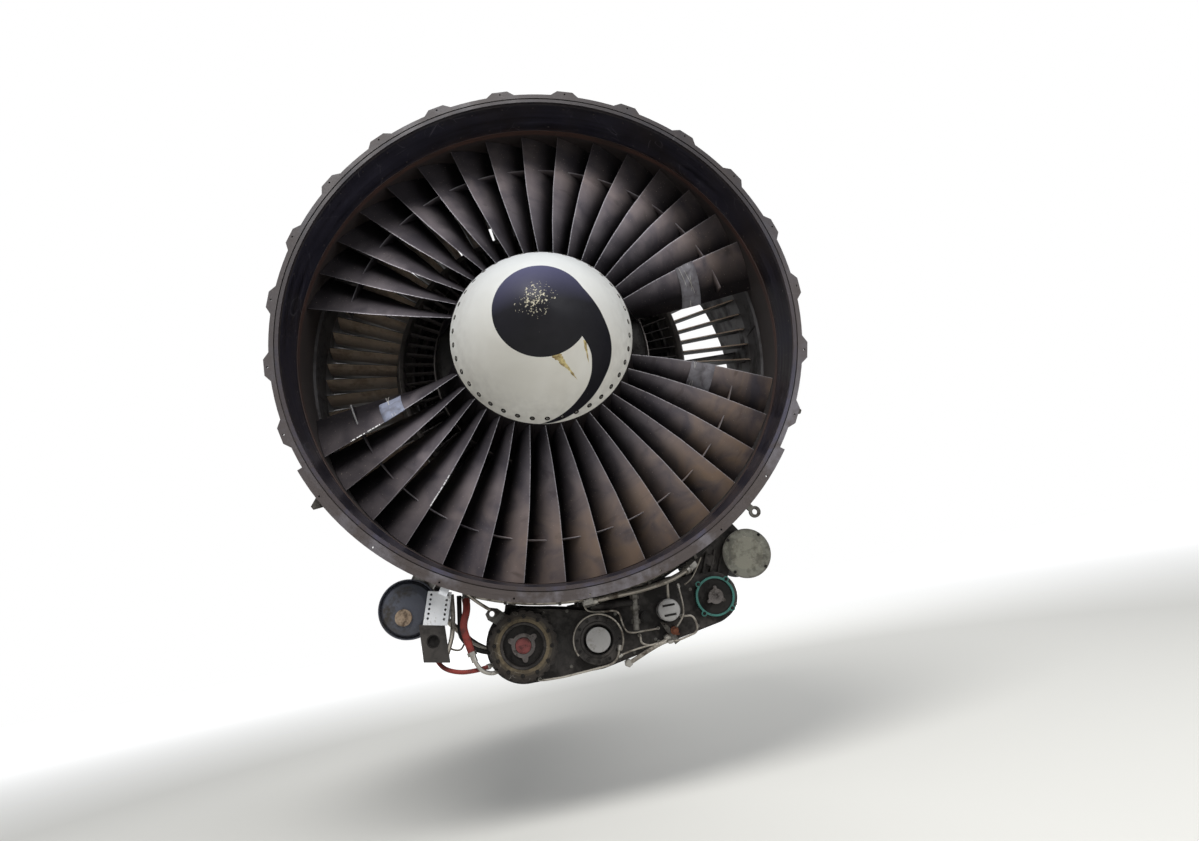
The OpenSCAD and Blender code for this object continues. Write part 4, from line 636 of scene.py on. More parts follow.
@dataclass(frozen=True)
class SpinnerPaint(Finish):
    """Off-white paint with the dark comma, worn by grit at the nose and gouged beside the tail; the paint turns
    bluish towards the top and the comma's head has a bluish sheen on top, both painted sky light.
    """

    head_r: float = 0.2032
    tail: tuple[Pair, ...] = (
        (60, 0.203), (72, 0.2084), (99, 0.2634), (114, 0.309), (127, 0.3398), (140, 0.3587),
        (154, 0.380), (167, 0.3963), (180, 0.409), (192, 0.4135))
    hollow: tuple[Pair, ...] = (
        (129, 0.19), (132.3, 0.2), (135.3, 0.2466), (142.6, 0.2925), (151.4, 0.329),
        (162.7, 0.359), (174.2, 0.385), (183, 0.4012), (192, 0.4135))
    gouges: tuple[tuple[Pair, Pair, float], ...] = (
        ((0.024, -0.190), (0.110, -0.290), 0.030), ((0.156, -0.152), (0.166, -0.244), 0.014))

    @staticmethod
    def edge(clock: Term, points: Line) -> Term:
        """Gives the radius of a spiral edge at a clock angle.

        Args:
            clock: Clock angle in degrees.
            points: Clock angles with the edge's radius at each.

        Returns:
            The radius.
        """
        first, last = points[0][0], points[-1][0]
        made = clock.graph.term("FloatCurve", {"Value": clock.span(first, last)})
        mapping = made.socket.node.mapping
        curve = mapping.curves[0].points
        curve[0].location, curve[1].location = (0.0, points[0][1]), (1.0, points[-1][1])
        for angle, radius in points[1:-1]:
            curve.new((angle - first) / (last - first), radius)
        mapping.update()
        return made

    @staticmethod
    def gouge(x: Term, z: Term, start: Pair, end: Pair, width: float, ragged: Term) -> Term:
        """Gives the mask of one ragged gouge that narrows from its start to its end.

        Args:
            x: X of the place.
            z: Z of the place.
            start: X and Z of the gouge's wide end.
            end: X and Z of its narrow end.
            width: Its width at the wide end.
            ragged: A fine random value that roughens its edge.

        Returns:
            The mask.
        """
        length = math.dist(start, end)
        ahead = ((end[0] - start[0]) / length, (end[1] - start[1]) / length)
        off_x, off_z = x - start[0], z - start[1]
        along = off_x * ahead[0] + off_z * ahead[1]
        across = off_x * ahead[1] - off_z * ahead[0]
        half = along.span(0.0, length, width / 2, 0.0) * ragged.span(0.35, 0.6, 0.4, 1.5)
        return (half - across.calc("ABSOLUTE")).span(0.0, 0.0008) * ((along > 0.0) * (along < length))

    def dress(self, made: Surface) -> None:
        """Adds the finish's nodes.

        Args:
            made: Surface that they are added to.
        """
        radius, clock, _ = made.use(POLAR)
        x, _, z = made.place.split()
        inside = (self.edge(clock, self.tail) - radius).span(0.0, 0.0012)
        outside = (radius - self.edge(clock, self.hollow)).span(0.0, 0.0012).maximum(clock < self.hollow[0][0])
        sector = (clock > self.tail[0][0]) * (clock < self.tail[-1][0])
        mark = (radius < self.head_r).maximum(inside * outside * sector)
        cloud = made.place.noise(4.0, 6.0, 0.4)
        fine = made.place.noise(28.0, 6.0)
        paint = cloud.span(0.3, 0.7).mix((208, 205, 196), (222, 220, 213))
        # Painted light: the paint turns bluish towards the top.
        paint = paint.over(z.span(-0.15, 0.38), cloud.mix((198, 202, 205), (209, 213, 215)))
        paint = paint.over(radius.span(0.30, 0.41) * fine.span(0.35, 0.7) * 0.45, (168, 164, 158))
        # Painted sheen: the black turns bluish on the top of the comma's head.
        black = cloud.span(0.35, 0.65).mix((14, 13, 19), (22, 21, 28)).over(z.span(0.0, 0.21), (78, 78, 106))
        speck_x, speck_z = (x + 0.018) / 0.105, (z - 0.012) / 0.092
        chance = (speck_x * speck_x + speck_z * speck_z).span(0.0, 1.3, 0.54, 0.78)
        chips = (made.place.noise(110.0, 3.0) - chance).span(0.0, 0.03)
        base = mark.mix(paint, black).over(chips, fine.mix((140, 134, 116), (214, 208, 186)))
        first, second = (self.gouge(x, z, *item, fine) for item in self.gouges)
        rust = fine.span(0.42, 0.62).mix((204, 188, 132), (120, 98, 60))
        made.set(Base_Color=base.over(first.maximum(second) * (mark * -1.0 + 1.0), rust),
                 Roughness=fine.span(0.3, 0.7, 0.42, 0.56), Specular_IOR_Level=0.25)
        made.bump(chips * -1.0 + fine * 0.15, 0.001)


@dataclass(frozen=True)
class PadFinish(Finish):
    """A round pad with rings of colour about its own centre."""

    centre: Pair
    rings: tuple[tuple[float, Colour], ...]
    metallic: float = 0.3
    roughness: float = 0.6

    def dress(self, made: Surface) -> None:
        """Adds the finish's nodes.

        Args:
            made: Surface that they are added to.
        """
        x, _, z = made.place.split()
        cloud = made.place.noise(16.0, 6.0, 0.5)
        ragged = distance(x - self.centre[0], z - self.centre[1]) + cloud.span(0.3, 0.7, -0.003, 0.003)
        (_, first), (inner, second), *others = self.rings
        base = ragged.span(inner, inner + 0.002).mix(first, second)
        for inner, colour in others:
            base = base.over(ragged.span(inner, inner + 0.002), colour)
        grime, = made.use(GRIME, 14.0, 0.6)
        scratch, = made.use(SCRATCHES, 26.0, 0.5)
        base = base.over(grime * 0.55, (46, 40, 35)).over(scratch * 0.5, (176, 170, 160))
        made.set(Specular_IOR_Level=0.2, Base_Color=base, Metallic=self.metallic,
                 Roughness=cloud.span(0.3, 0.7, self.roughness - 0.1, self.roughness + 0.1))
        made.bump(made.use(CASTING, 300.0)[0], 0.0006)


@dataclass(frozen=True)
class ClothFinish(Finish):
    """A woven surface: tape, string, or the sleeve of a hose."""

    colour: Colour
    soiled: Colour
    threads: float = 900.0

    def dress(self, made: Surface) -> None:
        """Adds the finish's nodes.

        Args:
            made: Surface that they are added to.
        """
        x, y, z = made.place.split()
        warp, weft = ((total * (self.threads * 2)).calc("SINE") for total in (x + z, z - y))
        cloud = made.place.noise(22.0, 6.0, 0.7)
        made.set(Base_Color=cloud.span(0.4, 0.68).mix(self.colour, self.soiled), Roughness=0.75)
        made.bump(warp * weft * 0.3 + cloud * 2.0, 0.0005)


@dataclass(frozen=True)
class FloorFinish(Finish):
    """The pale studio floor, which fades to white far from the engine."""

    near: float = 5.0
    far: float = 16.0

    def dress(self, made: Surface) -> None:
        """Adds the finish's nodes.

        Args:
            made: Surface that they are added to.
        """
        far = distance(*made.place.split()[:2]).span(self.near, self.far)
        seen = far * made.term("LightPath", {}, "Is Camera Ray")
        made.set(Base_Color=far.mix((226, 225, 220), (244, 244, 243)), Roughness=0.85, Emission_Strength=1.0,
                 Emission_Color=seen.mix((0, 0, 0, 1), (1, 1, 1, 1)))


BIG_PAD, MID_PAD, RING_PAD = (-0.301, -1.318), (0.008, -1.353), (0.534, -1.272)
FILTER, COVER, TANK, TANK_BOSS = (0.322, -1.290), (0.716, -1.120), (-0.741, -1.087), (-0.761, -1.117)


class Look(Enum):
    """The engine's finishes. A metal's numbers are metallic, roughness, and the dirt's size and cover."""

    FAN_CASE = FanCaseFinish("Fan case paint")
    LINER = LinerFinish("Liner composite")
    RUB_STRIP = RubStripFinish("Rub strip")
    BLADE = BladeFinish("Blade titanium")
    SPINNER = SpinnerPaint("Spinner paint")
    VANE = VaneFinish("Guide vane", "outlet_guide_vanes", (152, 134, 118), (180, 160, 140), (112, 94, 80))
    INLET_VANE = VaneFinish("Core inlet vane", "core_inlet_vanes", (96, 90, 92), (118, 112, 112), (66, 60, 60))
    SOUND_PANEL = MetalFinish("Sound panel", (38, 36, 38), (52, 49, 50), (27, 24, 24), 0.2, 0.6, 5.0, 0.5)
    DISK = MetalFinish("Disk steel", (44, 42, 44), (62, 58, 58), (28, 26, 26), 0.5, 0.5, 8.0, 0.5,
                       turned_pitch=220.0)
    BLACK_VANE = MetalFinish("Core vane", (34, 31, 30), (50, 45, 43), (22, 20, 19), 0.3, 0.5, 9.0, 0.5)
    SPLITTER = MetalFinish("Splitter", (88, 84, 82), (122, 116, 112), (54, 48, 44), 0.6, 0.42, 6.0, 0.4,
                           turned_pitch=200.0)
    DUCT = MetalFinish("Duct case", (74, 72, 74), (100, 98, 98), (46, 42, 40), 0.45, 0.5, 3.0, 0.5,
                       turned_pitch=140.0)
    ROTOR = MetalFinish("Dark rotor", (70, 66, 66), (104, 99, 96), (38, 34, 32), 0.7, 0.45, 8.0, 0.5,
                        turned_pitch=220.0)
    STEEL = MetalFinish("Plain steel", (142, 139, 133), (176, 172, 165), (78, 68, 58), 0.85, 0.36, 6.0, 0.45)
    GROUND = MetalFinish("Ground steel", (172, 170, 166), (200, 198, 193), (110, 104, 96), 0.95, 0.24, 9.0, 0.2,
                         turned_pitch=300.0, depth=0.0003)
    PIPE = MetalFinish("Pipe steel", (128, 122, 114), (164, 158, 148), (70, 60, 50), 0.75, 0.4, 12.0, 0.5, 40.0)
    CAST = MetalFinish("Cast alloy", (46, 43, 41), (66, 61, 57), (30, 27, 25), 0.3, 0.6, 7.0, 0.65, 22.0,
                       cast_size=260.0)
    BLACK = MetalFinish("Black fitting", (27, 26, 25), (44, 41, 39), (19, 17, 16), 0.3, 0.5, 12.0, 0.5, 30.0,
                        specular=0.2)
    COMPRESSOR = MetalFinish("Compressor case", (124, 120, 114), (152, 146, 138), (82, 70, 58), 0.75, 0.42,
                             4.0, 0.5, turned_pitch=160.0)
    HOT = HeatedFinish("Heated steel", 2.0, 3.3)
    HOTTER = HeatedFinish("Exhaust steel", 2.6, 4.5, 0.5)
    TANK = MetalFinish("Dusty tank", (62, 64, 72), (84, 87, 98), (56, 52, 48), 0.35, 0.5, 9.0, 0.5, 24.0)
    TAN_DUST = MetalFinish("Tan dust", (122, 100, 78), (150, 134, 116), (78, 64, 52), 0.1, 0.75, 18.0, 0.5, 30.0)
    WHITE_PLATE = MetalFinish("White plate", (206, 208, 212), (222, 223, 226), (140, 134, 126), 0.1, 0.45,
                              22.0, 0.35, 60.0)
    BRACKET = MetalFinish("Bracket steel", (84, 82, 78), (112, 109, 103), (50, 44, 38), 0.55, 0.5, 16.0, 0.55, 40.0)
    EAR_PLATE = MetalFinish("Ear plate", (86, 81, 79), (108, 102, 99), (54, 48, 44), 0.6, 0.45, 26.0, 0.5)
    RED_CAP = MetalFinish("Red cap", (98, 34, 33), (124, 62, 60), (50, 25, 23), 0.1, 0.5, 30.0, 0.5, 60.0)
    FLAT_DISC = MetalFinish("Flat disc", (142, 140, 138), (154, 152, 150), (112, 106, 100), 0.3, 0.5, 18.0, 0.35)
    TEAL = MetalFinish("Teal paint", (38, 96, 88), (62, 120, 110), (30, 50, 46), 0.1, 0.45, 24.0, 0.4, 60.0)
    RUST = MetalFinish("Rusty clamp", (92, 51, 33), (116, 68, 44), (52, 34, 26), 0.2, 0.8, 30.0, 0.4)
    TAPE = ClothFinish("White tape", (132, 138, 158), (100, 102, 114))
    GREY_TAPE = ClothFinish("Grey tape", (128, 126, 132), (92, 88, 92))
    STRING = ClothFinish("String", (206, 204, 198), (150, 146, 138), 2400.0)
    SLEEVE = ClothFinish("Red sleeve", (124, 42, 34), (78, 29, 24), 1400.0)
    BIG_PAD = PadFinish("Big pad", BIG_PAD, (
        (0.0, (24, 23, 22)), (0.084, (84, 76, 62)), (0.094, (104, 93, 75)), (0.108, (80, 73, 62)),
        (0.118, (58, 54, 50)), (0.130, (48, 45, 43))))
    PALE_COVER = PadFinish("Pale cover", COVER, (
        (0.0, (134, 132, 120)), (0.07, (124, 123, 113)), (0.1, (108, 106, 99))), 0.4, 0.5)

    @cached_property
    def material(self) -> bpy.types.Material:
        """The material, made when it is first asked for."""
        return self.value.build()


def paint(look: Look, *nodes: str) -> None:
    """Gives nodes of the frame a finish.

    Args:
        look: The finish.
        *nodes: Names of the nodes.
    """
    for name in nodes:
        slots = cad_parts[name].material_slots
        for item in slots:
            item.material = look.material
        if not slots:
            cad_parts[name].data.materials.append(look.material)
        LOG.info("%s: dressed in %s", name, look.value.name)


def paint_parts(node: str, looks: Sequence[Look], choose: Callable[[Vector], int]) -> None:
    """Gives the faces of one node several finishes, by where each face lies.

    Args:
        node: Name of the node.
        looks: The finishes.
        choose: Function that gives the number of a face's finish from its centre.
    """
    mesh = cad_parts[node].data
    mesh.materials.clear()
    for look in looks:
        mesh.materials.append(look.material)
    for face in mesh.polygons:
        face.material_index = choose(face.center)
    LOG.info("%s: dressed in %d finishes", node, len(looks))


# Shapes


def only(items: Sequence[object], kind: type) -> list:
    """Picks the items of one kind."""
    return [item for item in items if isinstance(item, kind)]


def rounded(route: Route, bend: float, steps: int = 5) -> list[Vector]:
    """Rounds the corners of a route.

    Args:
        route: The route's corners.
        bend: How far from a corner its bend starts.
        steps: Number of short lines in a bend.

    Returns:
        The points of the rounded route.
    """
    corners = [Vector(point) for point in route]
    points = [corners[0]]
    for before, here, after in zip(corners, corners[1:], corners[2:]):
        start, end = (here + (other - here).normalized() * min(bend, (other - here).length / 2.1)
                      for other in (before, after))
        for t in (i / steps for i in range(steps + 1)):
            points.append(start * (1 - t) ** 2 + here * 2 * t * (1 - t) + end * t ** 2)
    return points + [corners[-1]]


class Shape:
    """A mesh in the making, in the engine's frame."""

    def __init__(self) -> None:
        """Starts empty."""
        self.bm = bmesh.new()

    def turned(self, line: Line, centre: Pair = (0.0, 0.0), steps: int = 96, closed: bool = True) -> None:
        """Turns a line of (y, radius) points about a line along Y.

        Args:
            line: The outline's points.
            centre: X and Z of the line that it turns about.
            steps: Number of faces round.
            closed: Whether the outline's last point joins its first.
        """
        verts = [self.bm.verts.new((centre[0], y, centre[1] + radius)) for y, radius in line]
        ends = verts[1:] + verts[:1] if closed else verts[1:]
        edges = [self.bm.edges.new(pair) for pair in zip(verts, ends)]
        bmesh.ops.spin(self.bm, geom=verts + edges, cent=(centre[0], 0.0, centre[1]), axis=(0.0, 1.0, 0.0),
                       angle=2 * math.pi, steps=steps, use_merge=True)

    def plate(self, outline: Line, y: float, thick: float, holes: Sequence[tuple[float, float, float]] = (),
              sides: int = 16) -> None:
        """Makes a flat plate square to the axis, with round holes.

        Args:
            outline: X and Z of the outline's corners.
            y: Station of its front face.
            thick: Its thickness.
            holes: X, Z and radius of each hole.
            sides: Number of sides of each hole.
        """
        turns = [2 * math.pi * i / sides for i in range(sides)]
        loops = [outline] + [[(x + r * math.cos(t), z + r * math.sin(t)) for t in turns] for x, z, r in holes]
        edges = []
        for loop in loops:
            verts = [self.bm.verts.new((x, y, z)) for x, z in loop]
            edges += [self.bm.edges.new((verts[i - 1], verts[i])) for i in range(len(verts))]
        faces = only(bmesh.ops.triangle_fill(self.bm, edges=edges, use_beauty=True)["geom"], bmesh.types.BMFace)
        grown = bmesh.ops.extrude_face_region(self.bm, geom=faces)["geom"]
        bmesh.ops.translate(self.bm, verts=only(grown, bmesh.types.BMVert), vec=(0.0, thick, 0.0))

    def box(self, low: Sequence[float], high: Sequence[float], turn: Optional[Matrix] = None,
            bevel: float = 0.0) -> None:
        """Makes a block between two corners, with its edges broken.

        Args:
            low: Its lowest corner.
            high: Its highest corner.
            turn: Matrix that turns it afterwards.
            bevel: Width of the bevel on its edges.
        """
        before = set(self.bm.verts)
        size = [b - a for a, b in zip(low, high)]
        middle = Vector([(a + b) / 2 for a, b in zip(low, high)])
        matrix = Matrix.Translation(middle) @ Matrix.Diagonal((*size, 1.0))
        verts = bmesh.ops.create_cube(self.bm, size=1.0, matrix=matrix)["verts"]
        if bevel:
            edges = list({e for v in verts for e in v.link_edges})
            bmesh.ops.bevel(self.bm, geom=verts + edges, offset=bevel, offset_type="OFFSET", segments=2,
                            profile=0.5, affect="EDGES", material=-1)
        if turn is not None:
            made = [v for v in self.bm.verts if v not in before]
            bmesh.ops.transform(self.bm, matrix=turn, verts=made)

    def stud(self, place: Sequence[float], axis: Vector, radius: float, height: float, sides: int = 6,
             tip: float = 1.0) -> None:
        """Makes a short cylinder, cone or hexagon that stands at a place along a direction.

        Args:
            place: Where its foot is.
            axis: Direction that it stands along.
            radius: Its radius.
            height: Its height.
            sides: Number of its sides.
            tip: Share of the radius at its far end.
        """
        turn = axis.to_track_quat("Z", "Y").to_matrix().to_4x4()
        matrix = Matrix.Translation(place) @ turn @ Matrix.Translation((0, 0, height / 2))
        bmesh.ops.create_cone(self.bm, cap_ends=True, segments=sides, radius1=radius, radius2=radius * tip,
                              depth=height, matrix=matrix)

    def bolt(self, place: Vector, axis: Vector, radius: float) -> None:
        """Makes a hexagon head on its washer."""
        self.stud(place, axis, radius * 1.35, radius * 0.3, 12)
        self.stud(place + axis * radius * 0.3, axis, radius, radius * 0.9, 6, 0.94)

    def bolt_ring(self, count: int, radius: float, y: float, size: float, axis: Vector, first: float,
                  centre: Pair = (0.0, 0.0)) -> None:
        """Makes a ring of bolts whose heads point along the axis.

        Args:
            count: Number of bolts.
            radius: Radius of the circle that they stand on.
            y: Station of the face under their heads.
            size: Radius of a head.
            axis: Direction that the heads stand out in.
            first: Clock angle of the first bolt.
            centre: X and Z of the circle's centre.
        """
        for i in range(count):
            place = clock_point(first + i * 360 / count, radius, y)
            self.bolt(place + Vector((centre[0], 0.0, centre[1])), axis, size)

    def tube(self, route: Route, radius: float, bend: float = 0.03, sides: int = 10) -> None:
        """Makes a round tube along a route whose corners are rounded.

        Args:
            route: The route's corners.
            radius: The tube's radius.
            bend: How far from a corner its bend starts.
            sides: Number of the tube's sides, an even number.
        """
        points = rounded(route, bend)
        curve = bpy.data.curves.new("route", "CURVE")
        curve.dimensions = "3D"
        curve.bevel_depth = radius
        curve.bevel_resolution = (sides - 4) // 2
        curve.use_fill_caps = True
        line = curve.splines.new("POLY")
        line.points.add(len(points) - 1)
        for item, point in zip(line.points, points):
            item.co = (*point, 1.0)
        carrier = bpy.data.objects.new("route", curve)
        bpy.context.scene.collection.objects.link(carrier)
        graph = bpy.context.evaluated_depsgraph_get()
        mesh = bpy.data.meshes.new_from_object(carrier.evaluated_get(graph))
        self.bm.from_mesh(mesh)
        bpy.data.objects.remove(carrier)
        bpy.data.curves.remove(curve)
        bpy.data.meshes.remove(mesh)

    def finish(self, name: str, look: Look, slot: Optional[Slot] = None, body: Body = Body.CASE,
               sharp: float = 35.0, merge: float = 1e-5) -> bpy.types.Object:
        """Turns the shape into a piece of the engine.

        Args:
            name: The piece's name.
            look: Its finish.
            slot: Slot of the record; not used.
            body: Body that it rides on.
            sharp: Angle in degrees above which an edge stays sharp.
            merge: Distance within which vertices are merged.

        Returns:
            The piece's object.
        """
        bmesh.ops.remove_doubles(self.bm, verts=self.bm.verts, dist=merge)
        bmesh.ops.recalc_face_normals(self.bm, faces=self.bm.faces)
        for face in self.bm.faces:
            face.smooth = True
        for edge in self.bm.edges:
            edge.smooth = edge.calc_face_angle(0.0) < math.radians(sharp)
        mesh = bpy.data.meshes.new(name)
        self.bm.to_mesh(mesh)
        self.bm.free()
        mesh.materials.append(look.material)
        piece = bpy.data.objects.new(name, mesh)
        bpy.context.scene.collection.objects.link(piece)
        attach(piece, body.value)
        LOG.info("%s: %d faces on %s", name, len(mesh.polygons), body.value)
        return piece


@dataclass
class Fan:
    """The fan's blades, their shrouds, and the tape on the blades beside the gaps."""

    slots: int = 38
    missing: tuple[int, ...] = (8, 9, 10, 27, 28, 29)
    first: float = 4.2
    root_r: float = 0.400
    tip_r: float = 1.0975
    root_chord: float = 0.200
    tip_chord: float = 0.250
    root_thick: float = 0.015
    tip_thick: float = 0.0055
    root_edge_y: float = 0.142
    tip_edge_y: float = 0.243
    shroud_r: float = 0.912
    shroud_thick: float = 0.008
    shroud_y: float = 0.247
    shroud_width: float = 0.074
    stagger: tuple[Pair, ...] = ((0.0, 9.0), (0.25, 27.0), (0.55, 44.0), (1.0, 60.0))
    tape_lift: float = 0.0011
    tape_start: float = -0.01
    tape_thick: float = 0.0006
    string_r: float = 0.0011

    @property
    def pitch(self) -> float:
        """Angle between two blades in degrees."""
        return 360 / self.slots

    def turn(self, number: int) -> Matrix:
        """Gives the matrix that turns a blade's middle line from the top to its slot."""
        stack = math.degrees(self.tip_chord * math.sin(math.radians(60)) / self.tip_r / 2)
        return clock_turn(self.first + stack + number * self.pitch)

    def share(self, radius: float) -> float:
        """Gives the share of the span at a radius, from 0 at the root."""
        return (radius - self.root_r) / (self.tip_r - self.root_r)

    def stagger_at(self, t: float) -> float:
        """Gives the angle between the chord and the axis.

        Args:
            t: Share of the span.

        Returns:
            The angle in radians.
        """
        for (low, first), (high, last) in zip(self.stagger, self.stagger[1:]):
            if t <= high:
                return math.radians(first + (last - first) * (t - low) / (high - low))
        return math.radians(self.stagger[-1][1])

    def surface(self, t: float, x: float, side: float) -> Vector:
        """Gives a point on a blade that stands at the top.

        Args:
            t: Share of the span.
            x: Share of the chord, from 0 at the leading edge.
            side: 1 on the convex side, -1 on the other, and less between them.

        Returns:
            The point in the engine's frame.
        """
        chord = self.root_chord + (self.tip_chord - self.root_chord) * t
        thick = self.tip_thick + (self.root_thick - self.tip_thick) * (1 - t) ** 1.3
        share = 0.1 + 0.78 * math.sin(math.pi * min(max(x, 0.0), 1.0) ** 0.85) ** 0.8
        turn = self.stagger_at(t)
        off = 4 * (0.11 - 0.085 * t) * x * (1 - x) * chord + side * share * thick / 2
        along = (x - 0.5) * chord * math.sin(turn) + off * math.cos(turn)
        y = self.root_edge_y + (self.tip_edge_y - self.root_edge_y) * t ** 1.3
        y += x * chord * math.cos(turn) - off * math.sin(turn)
        radius = self.root_r + (self.tip_r - self.root_r) * t
        return Vector((radius * math.sin(along / radius), y, radius * math.cos(along / radius)))

    def airfoil(self, shape: Shape, around: int = 28, up: int = 22) -> None:
        """Makes one airfoil from a grid that is wrapped round the blade's section.

        Args:
            shape: Shape that it is added to.
            around: Number of faces round the section, an even number.
            up: Number of faces along the span.
        """
        layer = shape.bm.loops.layers.uv.verify()
        grid = bmesh.ops.create_grid(shape.bm, x_segments=around, y_segments=up, size=0.5)["verts"]
        stations = {}
        for vert in grid:
            turn, t = (vert.co.x + 0.5) * 2, vert.co.y + 0.5
            share = turn if turn <= 1.0 else 2.0 - turn
            x = (1 - math.cos(math.pi * share)) / 2
            side = 0.0 if abs(share - round(share)) < 1e-6 else 1.0 if turn <= 1.0 else -1.0
            stations[vert] = (x, t)
            vert.co = self.surface(t, x, side)
        for face in shape.bm.faces:
            for loop in face.loops:
                loop[layer].uv = stations[loop.vert]
        bmesh.ops.remove_doubles(shape.bm, verts=grid, dist=1e-6)
        rim = [e for e in shape.bm.edges if e.is_boundary and all(
            abs(math.hypot(v.co.x, v.co.z) - self.tip_r) < 1e-4 for v in e.verts)]
        self.chart(shape, bmesh.ops.contextual_create(shape.bm, geom=rim)["faces"], -1.0, 1.0)

    def chart(self, shape: Shape, faces: Sequence[bmesh.types.BMFace], front: float, span: float) -> None:
        """Gives faces outside the airfoil their place on the blades' UV map.

        Args:
            shape: Shape that holds them.
            faces: The faces.
            front: Station where they count as leading edge.
            span: Share of the span that they count as.
        """
        layer = shape.bm.loops.layers.uv.verify()
        for face in faces:
            for loop in face.loops:
                depth = max(loop.vert.co.y - front, 0.0) / 0.05
                loop[layer].uv = (min(depth ** 2, 0.85), span)

    def sector(self, shape: Shape, line: Line, gap: float, front: float, steps: int = 6) -> None:
        """Turns an outline through one blade's pitch, centred on the top.

        Args:
            shape: Shape that it is added to.
            line: Points of the outline as (y, radius).
            gap: Angle that is left free beside the next blade, in degrees.
            front: Station where its faces count as a leading edge.
            steps: Number of faces along the turn.
        """
        before = set(shape.bm.faces)
        half = (self.pitch - gap) / 2
        face = shape.bm.faces.new([shape.bm.verts.new(clock_point(-half, radius, y)) for y, radius in line])
        bmesh.ops.spin(shape.bm, geom=[face], cent=(0, 0, 0), axis=(0, 1, 0), angle=math.radians(2 * half),
                       steps=steps)
        self.chart(shape, [f for f in shape.bm.faces if f not in before], front, 0.72)

    def one_blade(self, shape: Shape) -> None:
        """Adds one blade at the top: airfoil, mid-span shroud, platform and root.

        Args:
            shape: Shape that it is added to.
        """
        self.airfoil(shape)
        edge, half = self.shroud_thick * 0.8, self.shroud_thick / 2
        front, back = self.shroud_y, self.shroud_y + self.shroud_width
        outer, inner = self.shroud_r + half, self.shroud_r - half
        self.sector(shape, [(front, self.shroud_r), (front + edge, outer), (back - edge, outer),
                            (back, self.shroud_r), (back - edge, inner), (front + edge, inner)], 0.1, front)
        self.sector(shape, [(0.138, 0.416), (0.390, 0.505), (0.390, 0.499), (0.138, 0.410)], 0.14, -1.0)
        before = set(shape.bm.faces)
        shape.box((-0.010, 0.158, 0.385), (0.010, 0.332, 0.412))
        shape.plate([(-0.010, 0.403), (0.010, 0.403), (0.010, 0.387), (0.017, 0.361), (-0.017, 0.361),
                     (-0.010, 0.387)], 0.150, 0.190)
        self.chart(shape, [f for f in shape.bm.faces if f not in before], -1.0, 0.0)

    def build(self) -> None:
        """Makes all blades in one piece that stands for the frame's blades, and their tapes."""
        shape = Shape()
        number = shape.bm.verts.layers.float.new("blade_number")
        self.one_blade(shape)
        original = list(shape.bm.verts) + list(shape.bm.edges) + list(shape.bm.faces)
        for n in range(self.slots):
            if n not in self.missing:
                verts = only(bmesh.ops.duplicate(shape.bm, geom=original)["geom"], bmesh.types.BMVert)
                for vert in verts:
                    vert[number] = n
                bmesh.ops.transform(shape.bm, matrix=self.turn(n), verts=verts)
        bmesh.ops.delete(shape.bm, geom=only(original, bmesh.types.BMVert), context="VERTS")
        piece = shape.finish("fan_blade_set", Look.BLADE, Slot.TITANIUM, Body.FAN, merge=1e-7)
        piece.data.uv_layers[0].name = "blade"
        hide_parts("fan_blades")
        self.tapes()

    def wrap(self, name: str, number: int, inner: float, outer: float, end: float, look: Look) -> None:
        """Wraps tape round a blade.

        Args:
            name: The piece's name.
            number: Number of the blade.
            inner: Radius of the tape's inner edge.
            outer: Radius of its outer edge.
            end: Share of the chord where it ends.
            look: Its finish.
        """
        shape = Shape()
        grid = bmesh.ops.create_grid(shape.bm, x_segments=32, y_segments=6, size=0.5)["verts"]
        lift = 1.0 + self.tape_lift / self.tip_thick
        for vert in grid:
            turn = (vert.co.x + 0.5) * 2
            radius = inner + (outer - inner) * (vert.co.y + 0.5)
            share = turn if turn <= 1.0 else 2.0 - turn
            x = self.tape_start + (end - self.tape_start) * (1 - math.cos(math.pi * share)) / 2
            side = (1.0 if turn <= 1.0 else -1.0) if min(share, 1 - share) > 0.04 else 0.0
            pucker = 1 + 0.25 * math.sin(radius * 700 + x * 9)
            vert.co = self.surface(self.share(radius), x, side * lift * pucker * 1.6)
            if share < 0.02:
                vert.co.y -= 0.002
        bmesh.ops.transform(shape.bm, matrix=self.turn(number), verts=grid)
        thick = shape.finish(name, look, body=Body.FAN, sharp=60).modifiers.new("tape thickness", "SOLIDIFY")
        thick.thickness = self.tape_thick
        thick.offset = 1.0

    def tie(self, shape: Shape, number: int, radius: float, lean: float) -> None:
        """Adds a string that is tied round a blade.

        Args:
            shape: Shape that it is added to.
            number: Number of the blade.
            radius: Radius at which it crosses the leading edge.
            lean: How much further out it crosses the trailing edge.
        """
        points = []
        for i in range(41):
            share = i / 20 if i <= 20 else 2 - i / 20
            x = (1 - math.cos(math.pi * share)) / 2
            side = 1.9 if i <= 20 else -1.9
            points.append(self.turn(number) @ self.surface(self.share(radius + lean * x), x, side))
        shape.tube(points, self.string_r, 0.0, 6)

    def tapes(self) -> None:
        """Makes the tape wraps and the strings on the blades beside the gaps."""
        self.wrap("tape_left_lower", 26, 0.692, 0.797, 0.62, Look.TAPE)
        self.wrap("tape_right_upper", 7, 0.724, 0.824, 1.01, Look.GREY_TAPE)
        self.wrap("tape_right_lower", 11, 0.698, 0.812, 0.7, Look.GREY_TAPE)
        shape = Shape()
        for number, radius, lean in ((26, 0.738, 0.03), (26, 0.752, 0.0), (7, 0.742, 0.03), (7, 0.76, 0.05),
                                     (7, 0.795, -0.03), (11, 0.712, 0.03), (11, 0.72, -0.01)):
            self.tie(shape, number, radius, lean)
        shape.finish("blade_strings", Look.STRING, body=Body.FAN)


